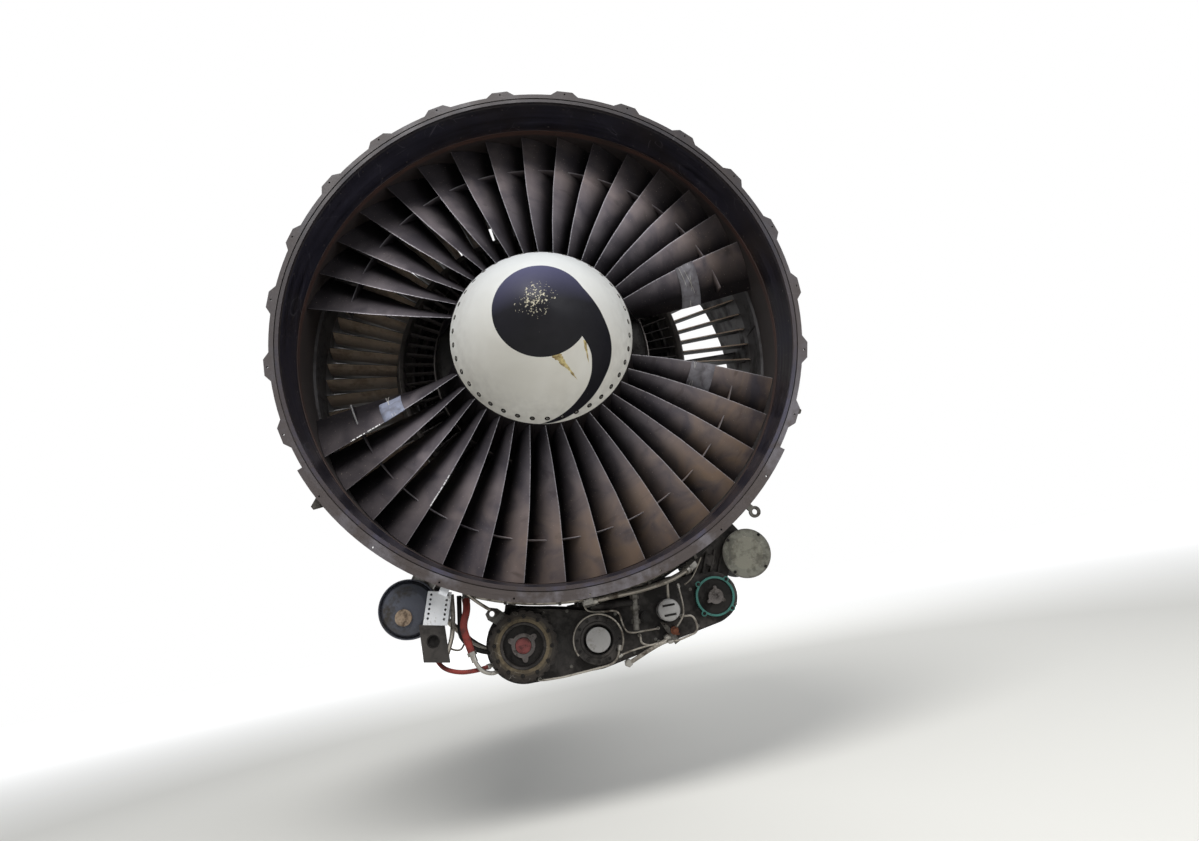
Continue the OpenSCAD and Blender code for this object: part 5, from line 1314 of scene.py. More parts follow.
@dataclass
class SpinnerCone:
    """The spinner: its blunt painted shell, its ring of bolts and its support ring."""

    nose_y: float = -0.283
    rear_y: float = 0.135
    rear_r: float = 0.413
    wall: float = 0.004
    bolt_y: float = 0.104
    bolts: int = 38
    first_bolt: float = 290.28
    bolt_r: float = 0.0065
    blunt: float = 0.453
    power: float = 1.6
    seat_y: float = 0.086

    def radius_at(self, y: float) -> float:
        """Gives the shell's outer radius, as in the frame's source.

        Args:
            y: Station along the axis.

        Returns:
            The radius.
        """
        full = (1 - (1 - self.blunt) ** self.power) ** (1 / self.power)
        share = (y - self.nose_y) / (self.rear_y - self.nose_y)
        return self.rear_r * max(1 - (1 - self.blunt * share) ** self.power, 0.0) ** (1 / self.power) / full

    def shell(self, steps: int = 48) -> None:
        """Makes the painted shell.

        Args:
            steps: Number of faces along its outline.
        """
        stations = [self.nose_y + (self.rear_y - self.nose_y) * (i / steps) ** 2 for i in range(steps + 1)]
        line = [(y, self.radius_at(y)) for y in stations]
        inner = [(y + (self.wall if r < 0.1 else self.wall / 2), max(r - self.wall, 0.0))
                 for y, r in reversed(line[1:])]
        inner[0] = (self.rear_y, self.rear_r - self.wall)
        shape = Shape()
        shape.turned(line + inner + [(self.nose_y + self.wall, 0.0)], steps=128, closed=False)
        piece = shape.finish("spinner_shell", Look.SPINNER, Slot.PAINT, Body.FAN)
        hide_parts("spinner")

    def fittings(self) -> None:
        """Makes the bolts, with dark discs round them and dark hexagons on their heads that are painted shade of
        their recesses and sockets, and the support ring behind the shell.
        """
        slope = (self.radius_at(self.bolt_y + 0.001) - self.radius_at(self.bolt_y - 0.001)) / 0.002
        heads, recess_shades, ring = Shape(), Shape(), Shape()
        for i in range(self.bolts):
            angle = self.first_bolt + i * 360 / self.bolts
            place = clock_point(angle, self.radius_at(self.bolt_y) - 0.0005, self.bolt_y)
            out = clock_turn(angle).to_3x3() @ Vector((0.0, -slope, 1.0)).normalized()
            heads.stud(place, out, self.bolt_r * 0.8, 0.0028, 16, 0.86)
            # Painted shade: a dark hexagon on each head and a dark disc round each bolt stand for the shade in its
            # socket and recess.
            recess_shades.stud(place + out * 0.0012, out, self.bolt_r * 0.4, 0.002, 6)
            recess_shades.stud(place - out * 0.001, out, self.bolt_r * 1.85, 0.0018, 16)
        heads.finish("spinner_bolts", Look.STEEL, Slot.STEEL, Body.FAN)
        recess_shades.finish("spinner_bolt_recess_shades", Look.BLACK, body=Body.FAN)
        behind = self.radius_at(self.seat_y)
        ring.turned([(self.seat_y, behind - 0.008), (0.132, self.rear_r - 0.007), (0.150, 0.395), (0.150, 0.300),
                     (0.141, 0.300), (0.141, 0.375), (0.124, self.rear_r - 0.028), (self.seat_y, behind - 0.024)])
        ring.finish("spinner_support", Look.DISK, Slot.DARK, Body.FAN)

    def build(self) -> None:
        """Makes the spinner's pieces."""
        self.shell()
        self.fittings()


@dataclass
class FanDuct:
    """The fan case, its liner and strip, the guide vanes and the frame, with their fasteners."""

    flange_r: float = 1.146
    joints: tuple[float, ...] = (0.620, 0.880)
    rear_y: float = 1.120
    flange_thick: float = 0.014
    bolts: int = 90
    bolt_r: float = 0.0065
    first_bolt: float = 2.0
    liner_front: Pair = (0.024, 1.118)
    liner_length: float = 0.172
    liner_taper: float = 0.015
    rivet_rows: tuple[Pair, ...] = ((0.045, 0.0), (0.172, 3.75))
    rivets: int = 48
    rivet_r: float = 0.0045
    panel_line: tuple[Pair, ...] = ((0.424, 1.1005), (0.431, 1.089), (0.599, 1.089), (0.606, 1.1005))
    panel_r: float = 1.089
    straps: int = 6
    strap_low: tuple[float, float, float] = (-0.014, 0.434, 1.086)
    strap_high: tuple[float, float, float] = (0.014, 0.596, 1.090)
    screw_rows: Pair = (0.440, 0.590)
    screws: int = 72
    lip_lines: tuple[tuple[Pair, ...], ...] = (
        ((0.5235, 0.7112), (0.5228, 0.7128), (0.5240, 0.7144), (0.5300, 0.7166), (0.5300, 0.7100)),
        ((0.4786, 0.5299), (0.4780, 0.5314), (0.4792, 0.5354), (0.4860, 0.5362), (0.4860, 0.5299)))

    def case_bolts(self) -> None:
        """Makes the bolts of the joints between the cases."""
        shape = Shape()
        rings = [(y + side.y * self.flange_thick, side) for y in self.joints for side in (FRONT, REAR)]
        for y, side in rings + [(self.rear_y, REAR)]:
            shape.bolt_ring(self.bolts, self.flange_r, y, self.bolt_r, side, self.first_bolt)
        shape.finish("fan_case_bolts", Look.STEEL, Slot.STEEL)

    def liner_rivets(self) -> None:
        """Makes the flush rivets that hold the liner."""
        rivets = Shape()
        start, widest = self.liner_front
        for y, first in self.rivet_rows:
            radius = widest - self.liner_taper * (y - start) / self.liner_length - 0.0006
            for angle in (first + 360 / self.rivets * i for i in range(self.rivets)):
                rivets.stud(clock_point(angle, radius, y), clock_turn(angle).to_3x3() @ UP, self.rivet_r, 0.002, 10)
        rivets.finish("liner_rivets", Look.ROTOR, Slot.DARK)

    def panels(self) -> None:
        """Makes the ring of sound panels behind the blades, with its straps and screws."""
        ring = Shape()
        ring.turned(self.panel_line)
        for i in range(self.straps):
            ring.box(self.strap_low, self.strap_high, clock_turn(30.0 + 360 / self.straps * i), 0.0006)
        for y in self.screw_rows:
            for angle in (2.5 + 360 / self.screws * i for i in range(self.screws)):
                ring.stud(clock_point(angle, self.panel_r, y), clock_turn(angle).to_3x3() @ -UP, self.rivet_r,
                          0.0012, 8)
        ring.finish("sound_panels", Look.SOUND_PANEL, Slot.DARK)

    def lips(self) -> None:
        """Makes the polished edges of the splitter and of the ring inside the core's inlet."""
        edges = Shape()
        for line in self.lip_lines:
            edges.turned(line)
        edges.finish("inlet_lips", Look.SPLITTER, Slot.STEEL)

    def build(self) -> None:
        """Dresses the duct and makes its panels, lips and fasteners."""
        for look, *nodes in ((Look.FAN_CASE, "fan_case"), (Look.LINER, "inlet_liner"),
                             (Look.RUB_STRIP, "rub_strip"), (Look.DUCT, "vane_case", "fan_frame"),
                             (Look.VANE, "outlet_guide_vanes"), (Look.SPLITTER, "booster_case"),
                             (Look.INLET_VANE, "core_inlet_vanes")):
            paint(look, *nodes)
        self.lips()
        self.panels()
        self.case_bolts()
        self.liner_rivets()


@dataclass
class Core:
    """The compressor, combustor and turbines with their fasteners and leads."""

    rings: tuple[tuple[float, float, int], ...] = (
        (2.120, 0.349, 36), (2.560, 0.484, 48), (2.820, 0.467, 48), (3.020, 0.502, 54), (3.660, 0.638, 60))
    last_ring: tuple[float, float, int] = (3.920, 0.638, 60)
    bolt_r: float = 0.006
    first_bolt: float = 1.5
    flange_step: float = 0.020
    flange_thick: float = 0.012
    igniter_angles: Pair = (100.0, 200.0)
    box_turn: float = 18.0
    box_low: tuple[float, float, float] = (-0.055, 1.962, 0.340)
    box_high: tuple[float, float, float] = (0.055, 2.072, 0.436)
    box_bolts: tuple[Pair, ...] = ((-0.048, 1.970), (-0.048, 2.064), (0.048, 1.970), (0.048, 2.064))
    lead_r: float = 0.009
    lead_route: tuple[tuple[float, float, float], ...] = (
        (0, 0.556, 2.340), (0, 0.604, 2.340), (0, 0.606, 2.25), (6, 0.600, 2.14), (15, 0.520, 2.040),
        (18, 0.500, 2.017), (18, 0.432, 2.017))

    def fasteners(self) -> None:
        """Makes the bolts of the joints between the core's cases."""
        shape = Shape()
        rings = [(y + side.y * self.flange_thick, radius, count, side)
                 for y, radius, count in self.rings for side in (FRONT, REAR)]
        for y, radius, count, side in rings + [(*self.last_ring, REAR)]:
            shape.bolt_ring(count, radius + self.flange_step, y, self.bolt_r, side, self.first_bolt)
        shape.finish("core_bolts", Look.STEEL, Slot.STEEL)

    def leads(self) -> None:
        """Makes the two ignition boxes on the compressor's case and their leads to the igniters."""
        boxes, leads = Shape(), Shape()
        top = self.box_high[2]
        for angle in self.igniter_angles:
            turn, out = clock_turn(angle + self.box_turn), clock_point(angle + self.box_turn, 1.0, 0.0)
            boxes.box(self.box_low, self.box_high, turn, 0.004)
            for x, y in self.box_bolts:
                boxes.bolt(turn @ Vector((x, y, top)), out, 0.005)
            leads.tube([clock_point(angle + off, radius, y) for off, radius, y in self.lead_route], self.lead_r, 0.04)
            leads.stud(clock_point(angle + self.box_turn, top, self.lead_route[-1][2]), out, 0.014, 0.022, 6)
        boxes.finish("ignition_boxes", Look.CAST, Slot.CAST)
        leads.finish("ignition_leads", Look.PIPE, Slot.STEEL)

    def build(self) -> None:
        """Dresses the core and makes its small pieces."""
        for look, nodes in (
                (Look.COMPRESSOR, "compressor_case bleed_manifold"), (Look.CAST, "front_sump"),
                (Look.STEEL, "unison_rings vane_levers igniters fuel_nozzles forward_mount rear_mount"),
                (Look.BLACK, "vane_actuators low_rotor"), (Look.BLACK_VANE, "compressor_vanes"),
                (Look.PIPE, "bleed_duct fuel_manifold cooling_tubes"), (Look.DISK, "fan_disk"),
                (Look.HOT, "combustor_case high_turbine_case turbine_mid_frame low_turbine_case"
                           " combustor_liner turbine_nozzles"),
                (Look.HOTTER, "turbine_rear_frame exhaust_plug"),
                (Look.GROUND, "low_shaft high_rotor fan_ball_bearing fan_roller_bearing compressor_bearing"
                              " high_turbine_bearing low_turbine_bearing radial_drive_shaft"
                              " horizontal_drive_shaft")):
            paint(look, *nodes.split())
        self.fasteners()
        self.leads()


def near(place: Pair, point: Vector, radius: float) -> bool:
    """Tells whether a point lies within a radius of a place, seen from the front."""
    return math.hypot(point.x - place[0], point.z - place[1]) < radius


@dataclass
class Accessories:
    """The accessory gearbox below the fan case, what is fixed to it, and the oil tank beside it."""

    face_y: float = 0.200
    tank_y: float = 0.130
    tank_r: float = 0.117
    ear_half: float = 13.0

    def tank_finish(self, point: Vector) -> int:
        """Tells the dusty boss on the tank's front from the rest."""
        return int(point.y < self.tank_y - 0.0005 and near(TANK_BOSS, point, 0.036))

    @staticmethod
    def bracket_finish(point: Vector) -> int:
        """Tells the plain brackets from the white plate and the cast box below it.

        Args:
            point: Centre of a face.

        Returns:
            Number of its finish.
        """
        beside_tank = -0.72 < point.x < -0.53
        lowest = -1.1815 if point.y < 0.0988 else -1.155
        if beside_tank and point.y < 0.1025 and lowest < point.z < -1.02:
            return 1
        return 2 if beside_tank and point.z < -1.14 else 0

    def pad_finish(self, point: Vector) -> int:
        """Tells the pads apart.

        Args:
            point: Centre of a face.

        Returns:
            Number of its finish.
        """
        if near(BIG_PAD, point, 0.16):
            return 0
        if near(RING_PAD, point, 0.11):
            return 2 if point.y < self.face_y - 0.02 and not near(RING_PAD, point, 0.074) else 3
        return 4 if near(FILTER, point, 0.06) else 1

    def cover_finish(self, point: Vector) -> int:
        """Tells the pads' covers apart.

        Args:
            point: Centre of a face.

        Returns:
            Number of its finish.
        """
        if near(BIG_PAD, point, 0.0335):
            return 1 if point.y < self.face_y - 0.03 else 0
        for place, radius, number in ((BIG_PAD, 0.09, 0), (MID_PAD, 0.06, 2), (RING_PAD, 0.03, 3),
                                      (RING_PAD, 0.09, 0)):
            if near(place, point, radius):
                return number
        return 4 if point.y < self.face_y + 0.0005 else 5

    def dress(self) -> None:
        """Gives the frame's nodes their finishes."""
        paint(Look.CAST, "accessory_gearbox", "transfer_gearbox", "fuel_control", "starter", "fuel_pump", "oil_pump")
        paint(Look.STEEL, "gearbox_hangers", "power_lever", "tank_straps")
        paint(Look.PIPE, "drive_shaft_tube", "oil_pipes", "fuel_pipes")
        paint(Look.BLACK, "hydraulic_pump")
        paint_parts("oil_tank", [Look.TANK, Look.TAN_DUST], self.tank_finish)
        paint_parts("front_brackets", [Look.BRACKET, Look.WHITE_PLATE, Look.CAST], self.bracket_finish)
        paint_parts("drive_pads", [Look.BIG_PAD, Look.CAST, Look.TEAL, Look.BLACK, Look.FLAT_DISC],
                    self.pad_finish)
        paint_parts("pad_covers", [Look.BLACK, Look.RED_CAP, Look.FLAT_DISC, Look.EAR_PLATE, Look.PALE_COVER,
                                   Look.CAST], self.cover_finish)

    def eared_ring(self, shape: Shape, centre: Pair, radius: float, hole: float, first: float) -> None:
        """Adds a flat ring with three ears and a bolt in each.

        Args:
            shape: Shape that it is added to.
            centre: X and Z of its centre.
            radius: Radius of the ring.
            hole: Radius of its hole.
            first: Clock angle of its first ear.
        """
        y = self.face_y - 0.047
        outline = []
        for angle in range(0, 360, 3):
            away = min(abs((angle - first - k * 120 + 180) % 360 - 180) for k in range(3))
            reach = radius + math.sqrt(max(0.0, 1 - (away / self.ear_half) ** 2)) * radius * 0.38
            place = clock_point(angle, reach, 0.0)
            outline.append((centre[0] + place.x, centre[1] + place.z))
        shape.plate(outline, y, 0.007, [(*centre, hole)], 32)
        shape.bolt_ring(3, radius * 1.2, y, radius * 0.08, FRONT, first, centre)

    def ring(self, shape: Shape, line: Line, centre: Pair, steps: int, closed: bool = True) -> None:
        """Turns an outline of (depth before the gearbox's face, radius) points, both in millimetres.

        Args:
            shape: Shape that it is added to.
            line: The outline's points.
            centre: X and Z of the line that it turns about.
            steps: Number of faces round.
            closed: Whether the outline's last point joins its first.
        """
        points = [(self.face_y - depth, radius) for depth, radius in mm(*line)]
        shape.turned(points, centre, steps, closed)

    def pad_details(self) -> None:
        """Makes the rings, discs and bolts on the pads' faces."""
        plate, centre, bolts, rim, cap, slots = (Shape() for _ in range(6))
        self.eared_ring(plate, BIG_PAD, 0.049, 0.034, 60.0)
        self.eared_ring(plate, RING_PAD, 0.032, 0.011, 5.0)
        plate.finish("eared_rings", Look.EAR_PLATE, Slot.STEEL)
        self.ring(centre, [(50, 0), (52, 10), (50, 26), (48, 26), (48, 0)], BIG_PAD, 32, False)
        centre.finish("pad_core", Look.RED_CAP)
        for count, radius, depth, size, first, place in (
                (12, 0.118, 0.062, 0.0062, 10.0, BIG_PAD), (12, 0.088, 0.040, 0.005, 8.0, MID_PAD),
                (4, 0.087, 0.034, 0.0055, 45.0, RING_PAD), (4, 0.098, 0.012, 0.005, 45.0, COVER)):
            bolts.bolt_ring(count, radius, self.face_y - depth, size, FRONT, first, place)
        bolts.finish("pad_bolts", Look.BLACK, Slot.DARK)
        self.ring(rim, [(40, 61), (44, 64), (44, 72), (40, 75)], MID_PAD, 64)
        self.ring(rim, [(62, 83.5), (65, 86), (65, 92), (62, 95)], BIG_PAD, 64)
        rim.finish("pad_rims", Look.CAST, Slot.CAST)
        self.ring(cap, [(70, 0), (76, 0), (76, 38), (73, 43), (70, 43)], FILTER, 48, False)
        cap.finish("filter_cap", Look.FLAT_DISC, Slot.STEEL)
        x, z = FILTER
        for side in (-1, 1):
            slots.box((x - 0.026, self.face_y - 0.0775, z + side * 0.020 - 0.0045),
                      (x + 0.026, self.face_y - 0.075, z + side * 0.020 + 0.0045), bevel=0.001)
        slots.finish("filter_slots", Look.BLACK)

    def tank_details(self) -> None:
        """Makes the tank's rim and the lugs and bolts of its straps."""
        rim, lugs = Shape(), Shape()
        rim.turned([(self.tank_y + y, self.tank_r + r) for y, r in mm(
            (20, -2), (6, 1), (6, 5), (24, 5), (24, -2))], TANK, 72)
        rim.finish("tank_rim", Look.TANK, Slot.STEEL)
        for y in (self.tank_y + 0.040, self.tank_y + 0.280):
            for angle in (40.0, 130.0):
                x, _, z = clock_point(angle, self.tank_r + 0.010, 0.0) + Vector((TANK[0], 0.0, TANK[1]))
                lugs.box((x - 0.010, y, z - 0.010), (x + 0.010, y + 0.028, z + 0.010), bevel=0.0015)
                lugs.bolt(Vector((x, y, z)), FRONT, 0.006)
        lugs.finish("strap_lugs", Look.BRACKET, Slot.STEEL)

    def housings(self) -> None:
        """Makes the eared boss, the ribbed housing beside the pale cover, and the gearbox's bolts."""
        boss, housing, rim = Shape(), Shape(), Shape()
        place, socket = (-0.410, -1.168), (0.560, -1.120)
        boss.plate(mm((-437, -1165), (-415, -1141), (-385, -1150), (-325, -1205), (-355, -1250), (-430, -1190)),
                   0.170, 0.010, [(*place, 0.0115)], 20)
        boss.turned(mm((158, 11.5), (158, 18), (161, 21), (186, 21), (186, 11.5)), place, 28)
        boss.finish("eared_boss", Look.BRACKET, Slot.STEEL)
        housing.plate(mm((470, -1105), (560, -1056), (640, -1012), (690, -1030), (660, -1130), (610, -1225),
                         (480, -1200)), 0.240, 0.120)
        for share in (0.2, 0.5, 0.8):
            low = Vector((0.480 + 0.12 * share, 0.0, -1.190))
            housing.box((-0.004, 0.226, 0.0), (0.004, 0.242, 0.110 + 0.03 * share),
                        Matrix.Translation(low) @ clock_turn(24), 0.001)
        housing.turned(mm((228, 0), (228, 24), (232, 27), (245, 27)), socket, 28, False)
        housing.bolt_ring(4, 0.0205, 0.228, 0.003, FRONT, 20.0, socket)
        housing.finish("side_housing", Look.CAST, Slot.CAST)
        for x, z in mm((-200, -1205), (-100, -1215), (100, -1265), (440, -1225), (-120, -1440), (150, -1435),
                       (250, -1400), (440, -1380), (620, -1320)):
            rim.bolt(Vector((x, self.face_y, z)), FRONT, 0.0055)
        rim.finish("gearbox_bolts", Look.BRACKET, Slot.STEEL)

    def box_socket(self) -> None:
        """Makes the back of the cast box beside the tank and the socket in its face."""
        middle = Vector((-0.649, -1.241))
        corners = [Vector(c) for c in mm((-700, -1156), (-600, -1180), (-598, -1325), (-700, -1305))]
        shape = Shape()
        shape.plate([tuple(c + (middle - c).normalized() * 0.0045) for c in corners], 0.110, 0.005)
        shape.turned(mm((97.5, 22.2), (97.5, 25.8), (99.5, 26.8), (112, 26.8), (112, 22.2)), (-0.652, -1.231), 40)
        shape.finish("box_socket", Look.BLACK, Slot.DARK)

    def build(self) -> None:
        """Dresses the accessories and makes their small pieces."""
        self.box_socket()
        self.dress()
        self.pad_details()
        self.tank_details()
        self.housings()


@dataclass
class Plumbing:
    """The thin tubes and hoses in front of the gearbox."""

    ring_r: float = 0.104
    ring_y: float = 0.150

    def thin_tubes(self) -> None:
        """Makes the thin steel tubes, with a nut at each end."""
        shape, nuts = Shape(), Shape()
        for radius, bend, *corners in (
                (4, 30, (-26, 165, -1188), (-22, 165, -1232), (43, 165, -1246), (114, 165, -1250),
                 (122, 165, -1328), (141, 165, -1353), (268, 165, -1356), (268, 200, -1356)),
                (4.5, 20, (184, 200, -1370), (184, 155, -1370), (181, 155, -1403), (222, 155, -1418),
                 (294, 155, -1417), (300, 200, -1410)),
                (4, 20, (383, 150, -1190), (387, 150, -1278), (381, 150, -1323), (344, 150, -1362),
                 (340, 200, -1365)),
                (4.5, 20, (376, 200, -1326), (376, 150, -1326), (416, 150, -1328), (429, 150, -1363),
                 (424, 150, -1400), (340, 150, -1418), (293, 152, -1417)),
                (4.5, 30, (92, 145, -1389), (75, 145, -1438), (48, 145, -1459), (-8, 145, -1463),
                 (-163, 145, -1470), (-252, 140, -1466), (-260, 200, -1462)),
                (4, 30, (76, 150, -1435), (117, 150, -1424), (190, 150, -1416), (254, 152, -1413),
                 (262, 200, -1410)),
                (9, 30, (117, 200, -1470), (117, 160, -1470), (220, 160, -1430), (297, 160, -1407),
                 (300, 205, -1400)),
                (12, 50, (-22, 160, -1196), (107, 130, -1190), (202, 130, -1189), (283, 130, -1181),
                 (350, 130, -1170), (419, 130, -1148), (470, 160, -1120))):
            radius, route = radius / 1000, mm(*corners)
            shape.tube(route, radius, bend / 1000)
            for here, there in (route[:2], route[:-3:-1]):
                away = (Vector(there) - Vector(here)).normalized()
                nuts.stud(Vector(here) + away * 0.002, away, radius * 1.9, radius * 3.4, 6)
                nuts.stud(Vector(here) + away * radius * 3.4, away, radius * 1.5, radius * 1.6, 12)
        shape.finish("thin_tubes", Look.PIPE, Slot.STEEL)
        nuts.finish("tube_nuts", Look.STEEL, Slot.STEEL)

    def harness(self) -> None:
        """Makes the harness and the pipes that run round the case between the flange and the gearbox."""
        dark, pipes, bands = Shape(), Shape(), Shape()
        for shape, radius, y, thick, start, end in (
                (dark, 1.167, 0.128, 0.011, 143, 214), (dark, 1.188, 0.186, 0.013, 152, 176),
                (pipes, 1.178, 0.158, 0.012, 160, 205), (dark, 1.170, 0.182, 0.010, 176, 211),
                (pipes, 1.164, 0.100, 0.006, 150, 192)):
            wave = 0.004 if shape is dark else 0.0
            shape.tube([clock_point(a, radius + wave * math.sin(a * 0.7), y) for a in range(start, end + 1, 3)],
                       thick, 0.0)
            for angle in range(start + 4, end - 2, 11):
                here = clock_point(angle, radius + wave * math.sin(angle * 0.7), y)
                along = clock_point(angle + 90, 1.0, 0.0)
                bands.stud(here - along * 0.006, along, thick * 1.3, 0.012, 14)
                bands.box((-0.006, y - 0.002, -0.028), (0.006, y + 0.002, 0.0), Matrix.Translation(
                    clock_point(angle, 1.0, 0.0) * radius) @ clock_turn(angle), 0.0005)
        for shape, radius, bend, sides, *corners in (
                (dark, 17, 0.04, 12, (0, 165, -1215), (95, 165, -1222), (185, 165, -1232)),
                (dark, 10, 0.04, 12, (-534, 175, -1070), (-545, 165, -1180), (-552, 165, -1240),
                 (-500, 185, -1300), (-415, 190, -1330)),
                (pipes, 6.2, 0.03, 8, (339, 150, -1180), (335, 152, -1210), (332, 160, -1245)),
                (pipes, 3, 0.03, 8, (490, 80, -1104), (470, 140, -1150), (442, 150, -1185), (412, 160, -1200)),
                (pipes, 4, 0.03, 8, (-620, 140, -1235), (-596, 120, -1272), (-552, 120, -1290),
                 (-535, 150, -1262)),
                (pipes, 7, 0.03, 8, (-415, 160, -1150), (-460, 140, -1110), (-500, 120, -1065)),
                (pipes, 10, 0.03, 8, (-562, 165, -1060), (-566, 150, -1150), (-580, 135, -1230),
                 (-604, 110, -1288))):
            shape.tube(mm(*corners), radius / 1000, bend, sides)
        dark.finish("dark_harness", Look.BLACK)
        pipes.finish("case_pipes", Look.PIPE, Slot.STEEL)
        bands.finish("harness_clamps", Look.BRACKET, Slot.STEEL)

    def mid_pad_ring(self) -> None:
        """Makes the thin tube that runs round the middle pad."""
        shape = Shape()
        middle = Vector((MID_PAD[0], self.ring_y, MID_PAD[1]))
        shape.tube([clock_point(a, self.ring_r, 0.0) + middle for a in range(-118, 128, 9)], 0.0038, 0.0)
        shape.finish("pad_tube", Look.PIPE, Slot.STEEL)

    def hoses(self) -> None:
        """Makes the red sleeved hoses and their steel ends."""
        sleeves, ends = Shape(), Shape()
        ends.tube(mm((-506, 108, -1312), (-497, 110, -1350), (-477, 122, -1385), (-440, 150, -1404),
                     (-408, 172, -1394)), 0.0085, 0.03, 12)
        for radius, *corners in (
                (0.0155, (-505, 150, -1085), (-502, 110, -1135), (-528, 105, -1192), (-520, 105, -1245),
                 (-506, 108, -1312)),
                (0.0090, (-659, 150, -1300), (-630, 130, -1347), (-563, 125, -1374), (-493, 130, -1377),
                 (-450, 160, -1372))):
            route = mm(*corners)
            sleeves.tube(route, radius, 0.05, 12)
            for here, there in (route[:2], route[:-3:-1]):
                away = (Vector(there) - Vector(here)).normalized()
                ends.stud(Vector(here) - away * 0.030, away, radius * 0.8, 0.034, 12)
                ends.stud(Vector(here) - away * 0.004, away, radius * 1.25, 0.016, 6)
        sleeves.finish("red_hoses", Look.SLEEVE)
        ends.finish("hose_ends", Look.STEEL, Slot.STEEL)

    def fittings(self) -> None:
        """Makes the valve column, its plugs and the rusty clamp among the tubes."""
        column, plug, clamp, strap = Shape(), Shape(), Shape(), Shape()
        top = Vector((0.195, 0.160, -1.172))
        axis = (Vector((0.173, 0.150, -1.345)) - Vector((0.195, 0.150, -1.172))).normalized()
        column.stud(top, axis, 0.013, 0.175, 20)
        for down in (0.03, 0.075, 0.13):
            column.stud(top + axis * down, axis, 0.019, 0.018, 6)
        column.stud((0.195, 0.172, -1.215), REAR, 0.012, 0.03, 12)
        column.finish("valve_column", Look.BRACKET, Slot.STEEL)
        plug.stud((0.222, 0.200, -1.300), FRONT, 0.022, 0.036, 24)
        plug.stud((0.222, 0.166, -1.300), FRONT, 0.015, 0.010, 6)
        plug.stud((0.120, 0.200, -1.290), FRONT, 0.016, 0.020, 6)
        plug.finish("gearbox_plugs", Look.BLACK, Slot.DARK)
        clamp.stud((0.333, 0.202, -1.378), FRONT, 0.018, 0.034, 24, 0.94)
        clamp.stud((0.333, 0.168, -1.378), FRONT, 0.009, 0.008, 6)
        clamp.box((0.313, 0.180, -1.399), (0.353, 0.192, -1.391), bevel=0.002)
        clamp.finish("rusty_clamp", Look.RUST)
        strap.plate(mm((280, -1331), (305, -1343), (350, -1422), (326, -1434)), 0.178, 0.006,
                    mm((296, -1346, 4), (334, -1418, 4)), 12)
        strap.finish("filter_strap", Look.BRACKET, Slot.STEEL)

    def build(self) -> None:
        """Makes the plumbing."""
        self.thin_tubes()
        self.harness()
        self.mid_pad_ring()
        self.hoses()
        self.fittings()


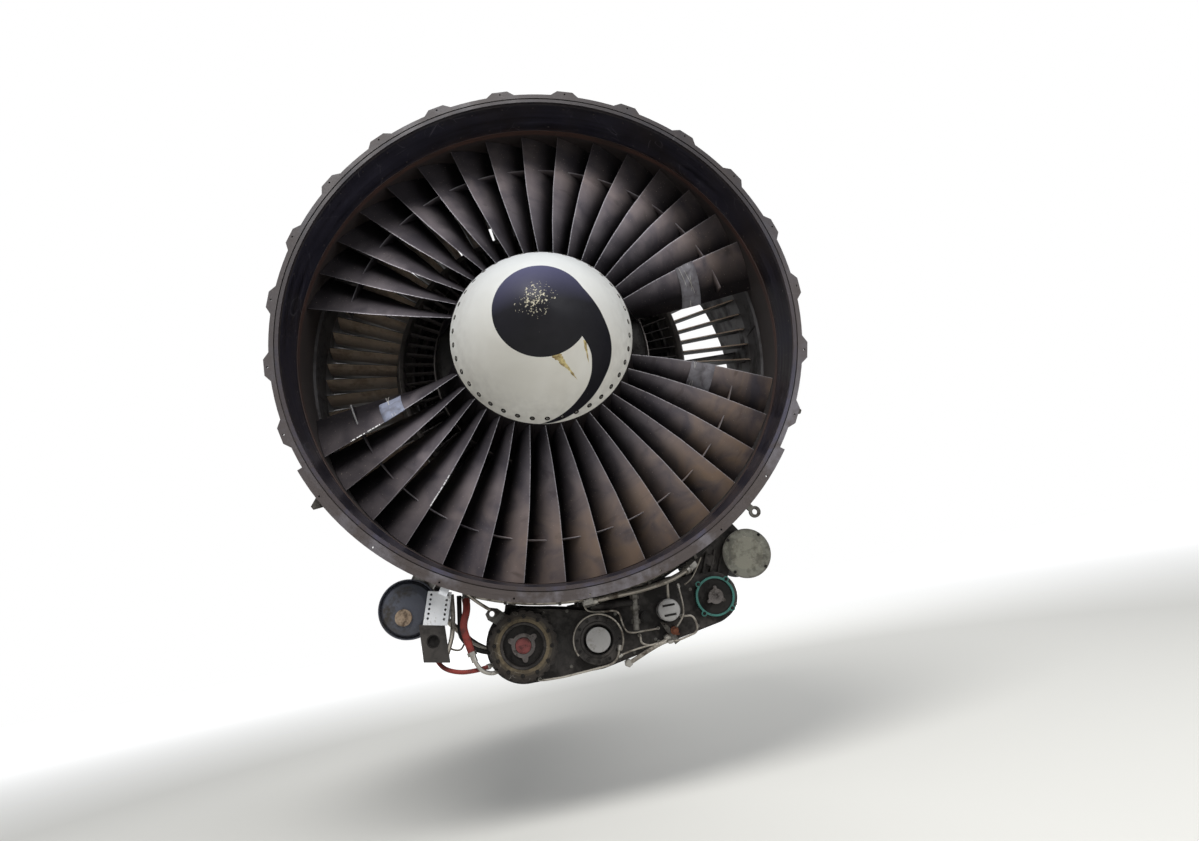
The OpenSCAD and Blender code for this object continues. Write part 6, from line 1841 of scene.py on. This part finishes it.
@dataclass
class Studio:
    """The camera, the lamps, the pale world and the floor."""

    floor_z: float = -2.05
    camera_place: tuple[float, float, float] = (-0.1574, -3.0869, -1.1755)
    right: tuple[float, float, float] = (0.9808, -0.0617, -0.1851)
    up: tuple[float, float, float] = (0.1657, -0.2376, 0.9571)
    forward: tuple[float, float, float] = (0.1030, 0.9694, 0.2228)
    lens: float = 22.5

    def camera(self) -> None:
        """Places the camera at the photograph's point of view."""
        data = bpy.data.cameras.new("view")
        data.lens = self.lens
        data.sensor_width = 36.0
        data.clip_start, data.clip_end = 0.05, 200.0
        camera = bpy.data.objects.new("view", data)
        axes = Matrix((self.right, self.up, [-part for part in self.forward])).transposed().to_4x4()
        camera.matrix_world = Matrix.Translation(self.camera_place) @ axes
        bpy.context.scene.collection.objects.link(camera)
        bpy.context.scene.camera = camera

    def lamp(self, name: str, place: Vector, aim: Vector, power: float, colour: Sequence[float]) -> None:
        """Places a large soft lamp.

        Args:
            name: Its name.
            place: Where it stands.
            aim: Point that it shines at.
            power: Its power in watts.
            colour: Its colour.
        """
        data = bpy.data.lights.new(name, "AREA")
        data.shape = "DISK"
        data.size = 4.0
        data.energy = power
        data.color = colour
        lamp = bpy.data.objects.new(name, data)
        lamp.matrix_world = Matrix.Translation(place) @ (aim - place).to_track_quat("-Z", "Y").to_matrix().to_4x4()
        bpy.context.scene.collection.objects.link(lamp)

    def world(self) -> None:
        """Makes the pale world: white to the camera, plain light to the engine."""
        world = bpy.data.worlds.new("studio")
        world.use_nodes = True
        bpy.context.scene.world = world
        graph = Graph(world.node_tree)
        camera, through, mirror = (graph.term("LightPath", {}, f"Is {kind} Ray")
                                   for kind in ("Camera", "Transmission", "Glossy"))
        seen = camera.maximum(through).maximum(mirror * 0.35)
        background = world.node_tree.nodes["Background"]
        graph.feed(background.inputs["Color"], seen.mix((0.93, 0.96, 1.0, 1.0), (1.0, 1.0, 1.0, 1.0)))
        graph.feed(background.inputs["Strength"], seen.span(0.0, 1.0, 0.36, 1.0))

    def floor(self) -> None:
        """Makes the pale floor."""
        bm = bmesh.new()
        bmesh.ops.create_grid(bm, x_segments=8, y_segments=8, size=40.0,
                              matrix=Matrix.Translation((0.0, 0.0, self.floor_z)))
        mesh = bpy.data.meshes.new("floor")
        bm.to_mesh(mesh)
        bm.free()
        mesh.materials.append(FloorFinish("Studio floor").build())
        floor = bpy.data.objects.new("floor", mesh)
        bpy.context.scene.collection.objects.link(floor)

    def build(self) -> None:
        """Sets the stage."""
        bpy.context.scene.view_settings.view_transform = "Standard"
        self.camera()
        self.world()
        self.floor()
        middle = Vector((0.0, 0.2, -0.2))
        self.lamp("key", Vector((-1.2, -3.9, 5.2)), middle, 470.0, (1.0, 0.99, 0.97))
        self.lamp("fill", Vector((4.4, -3.9, 1.2)), middle, 110.0, (0.97, 0.98, 1.0))
        self.lamp("rear", Vector((2.5, 8.0, 4.5)), Vector((0.0, 2.5, 0.0)), 260.0, (1.0, 1.0, 1.0))


def main() -> None:
    """Builds the engine's looks in order."""
    logging.basicConfig(level=logging.INFO, format="%(name)s: %(message)s")
    for part in (Studio(), Fan(), SpinnerCone(), FanDuct(), Core(), Accessories(), Plumbing()):
        part.build()


if __name__ == "__main__":
    main()
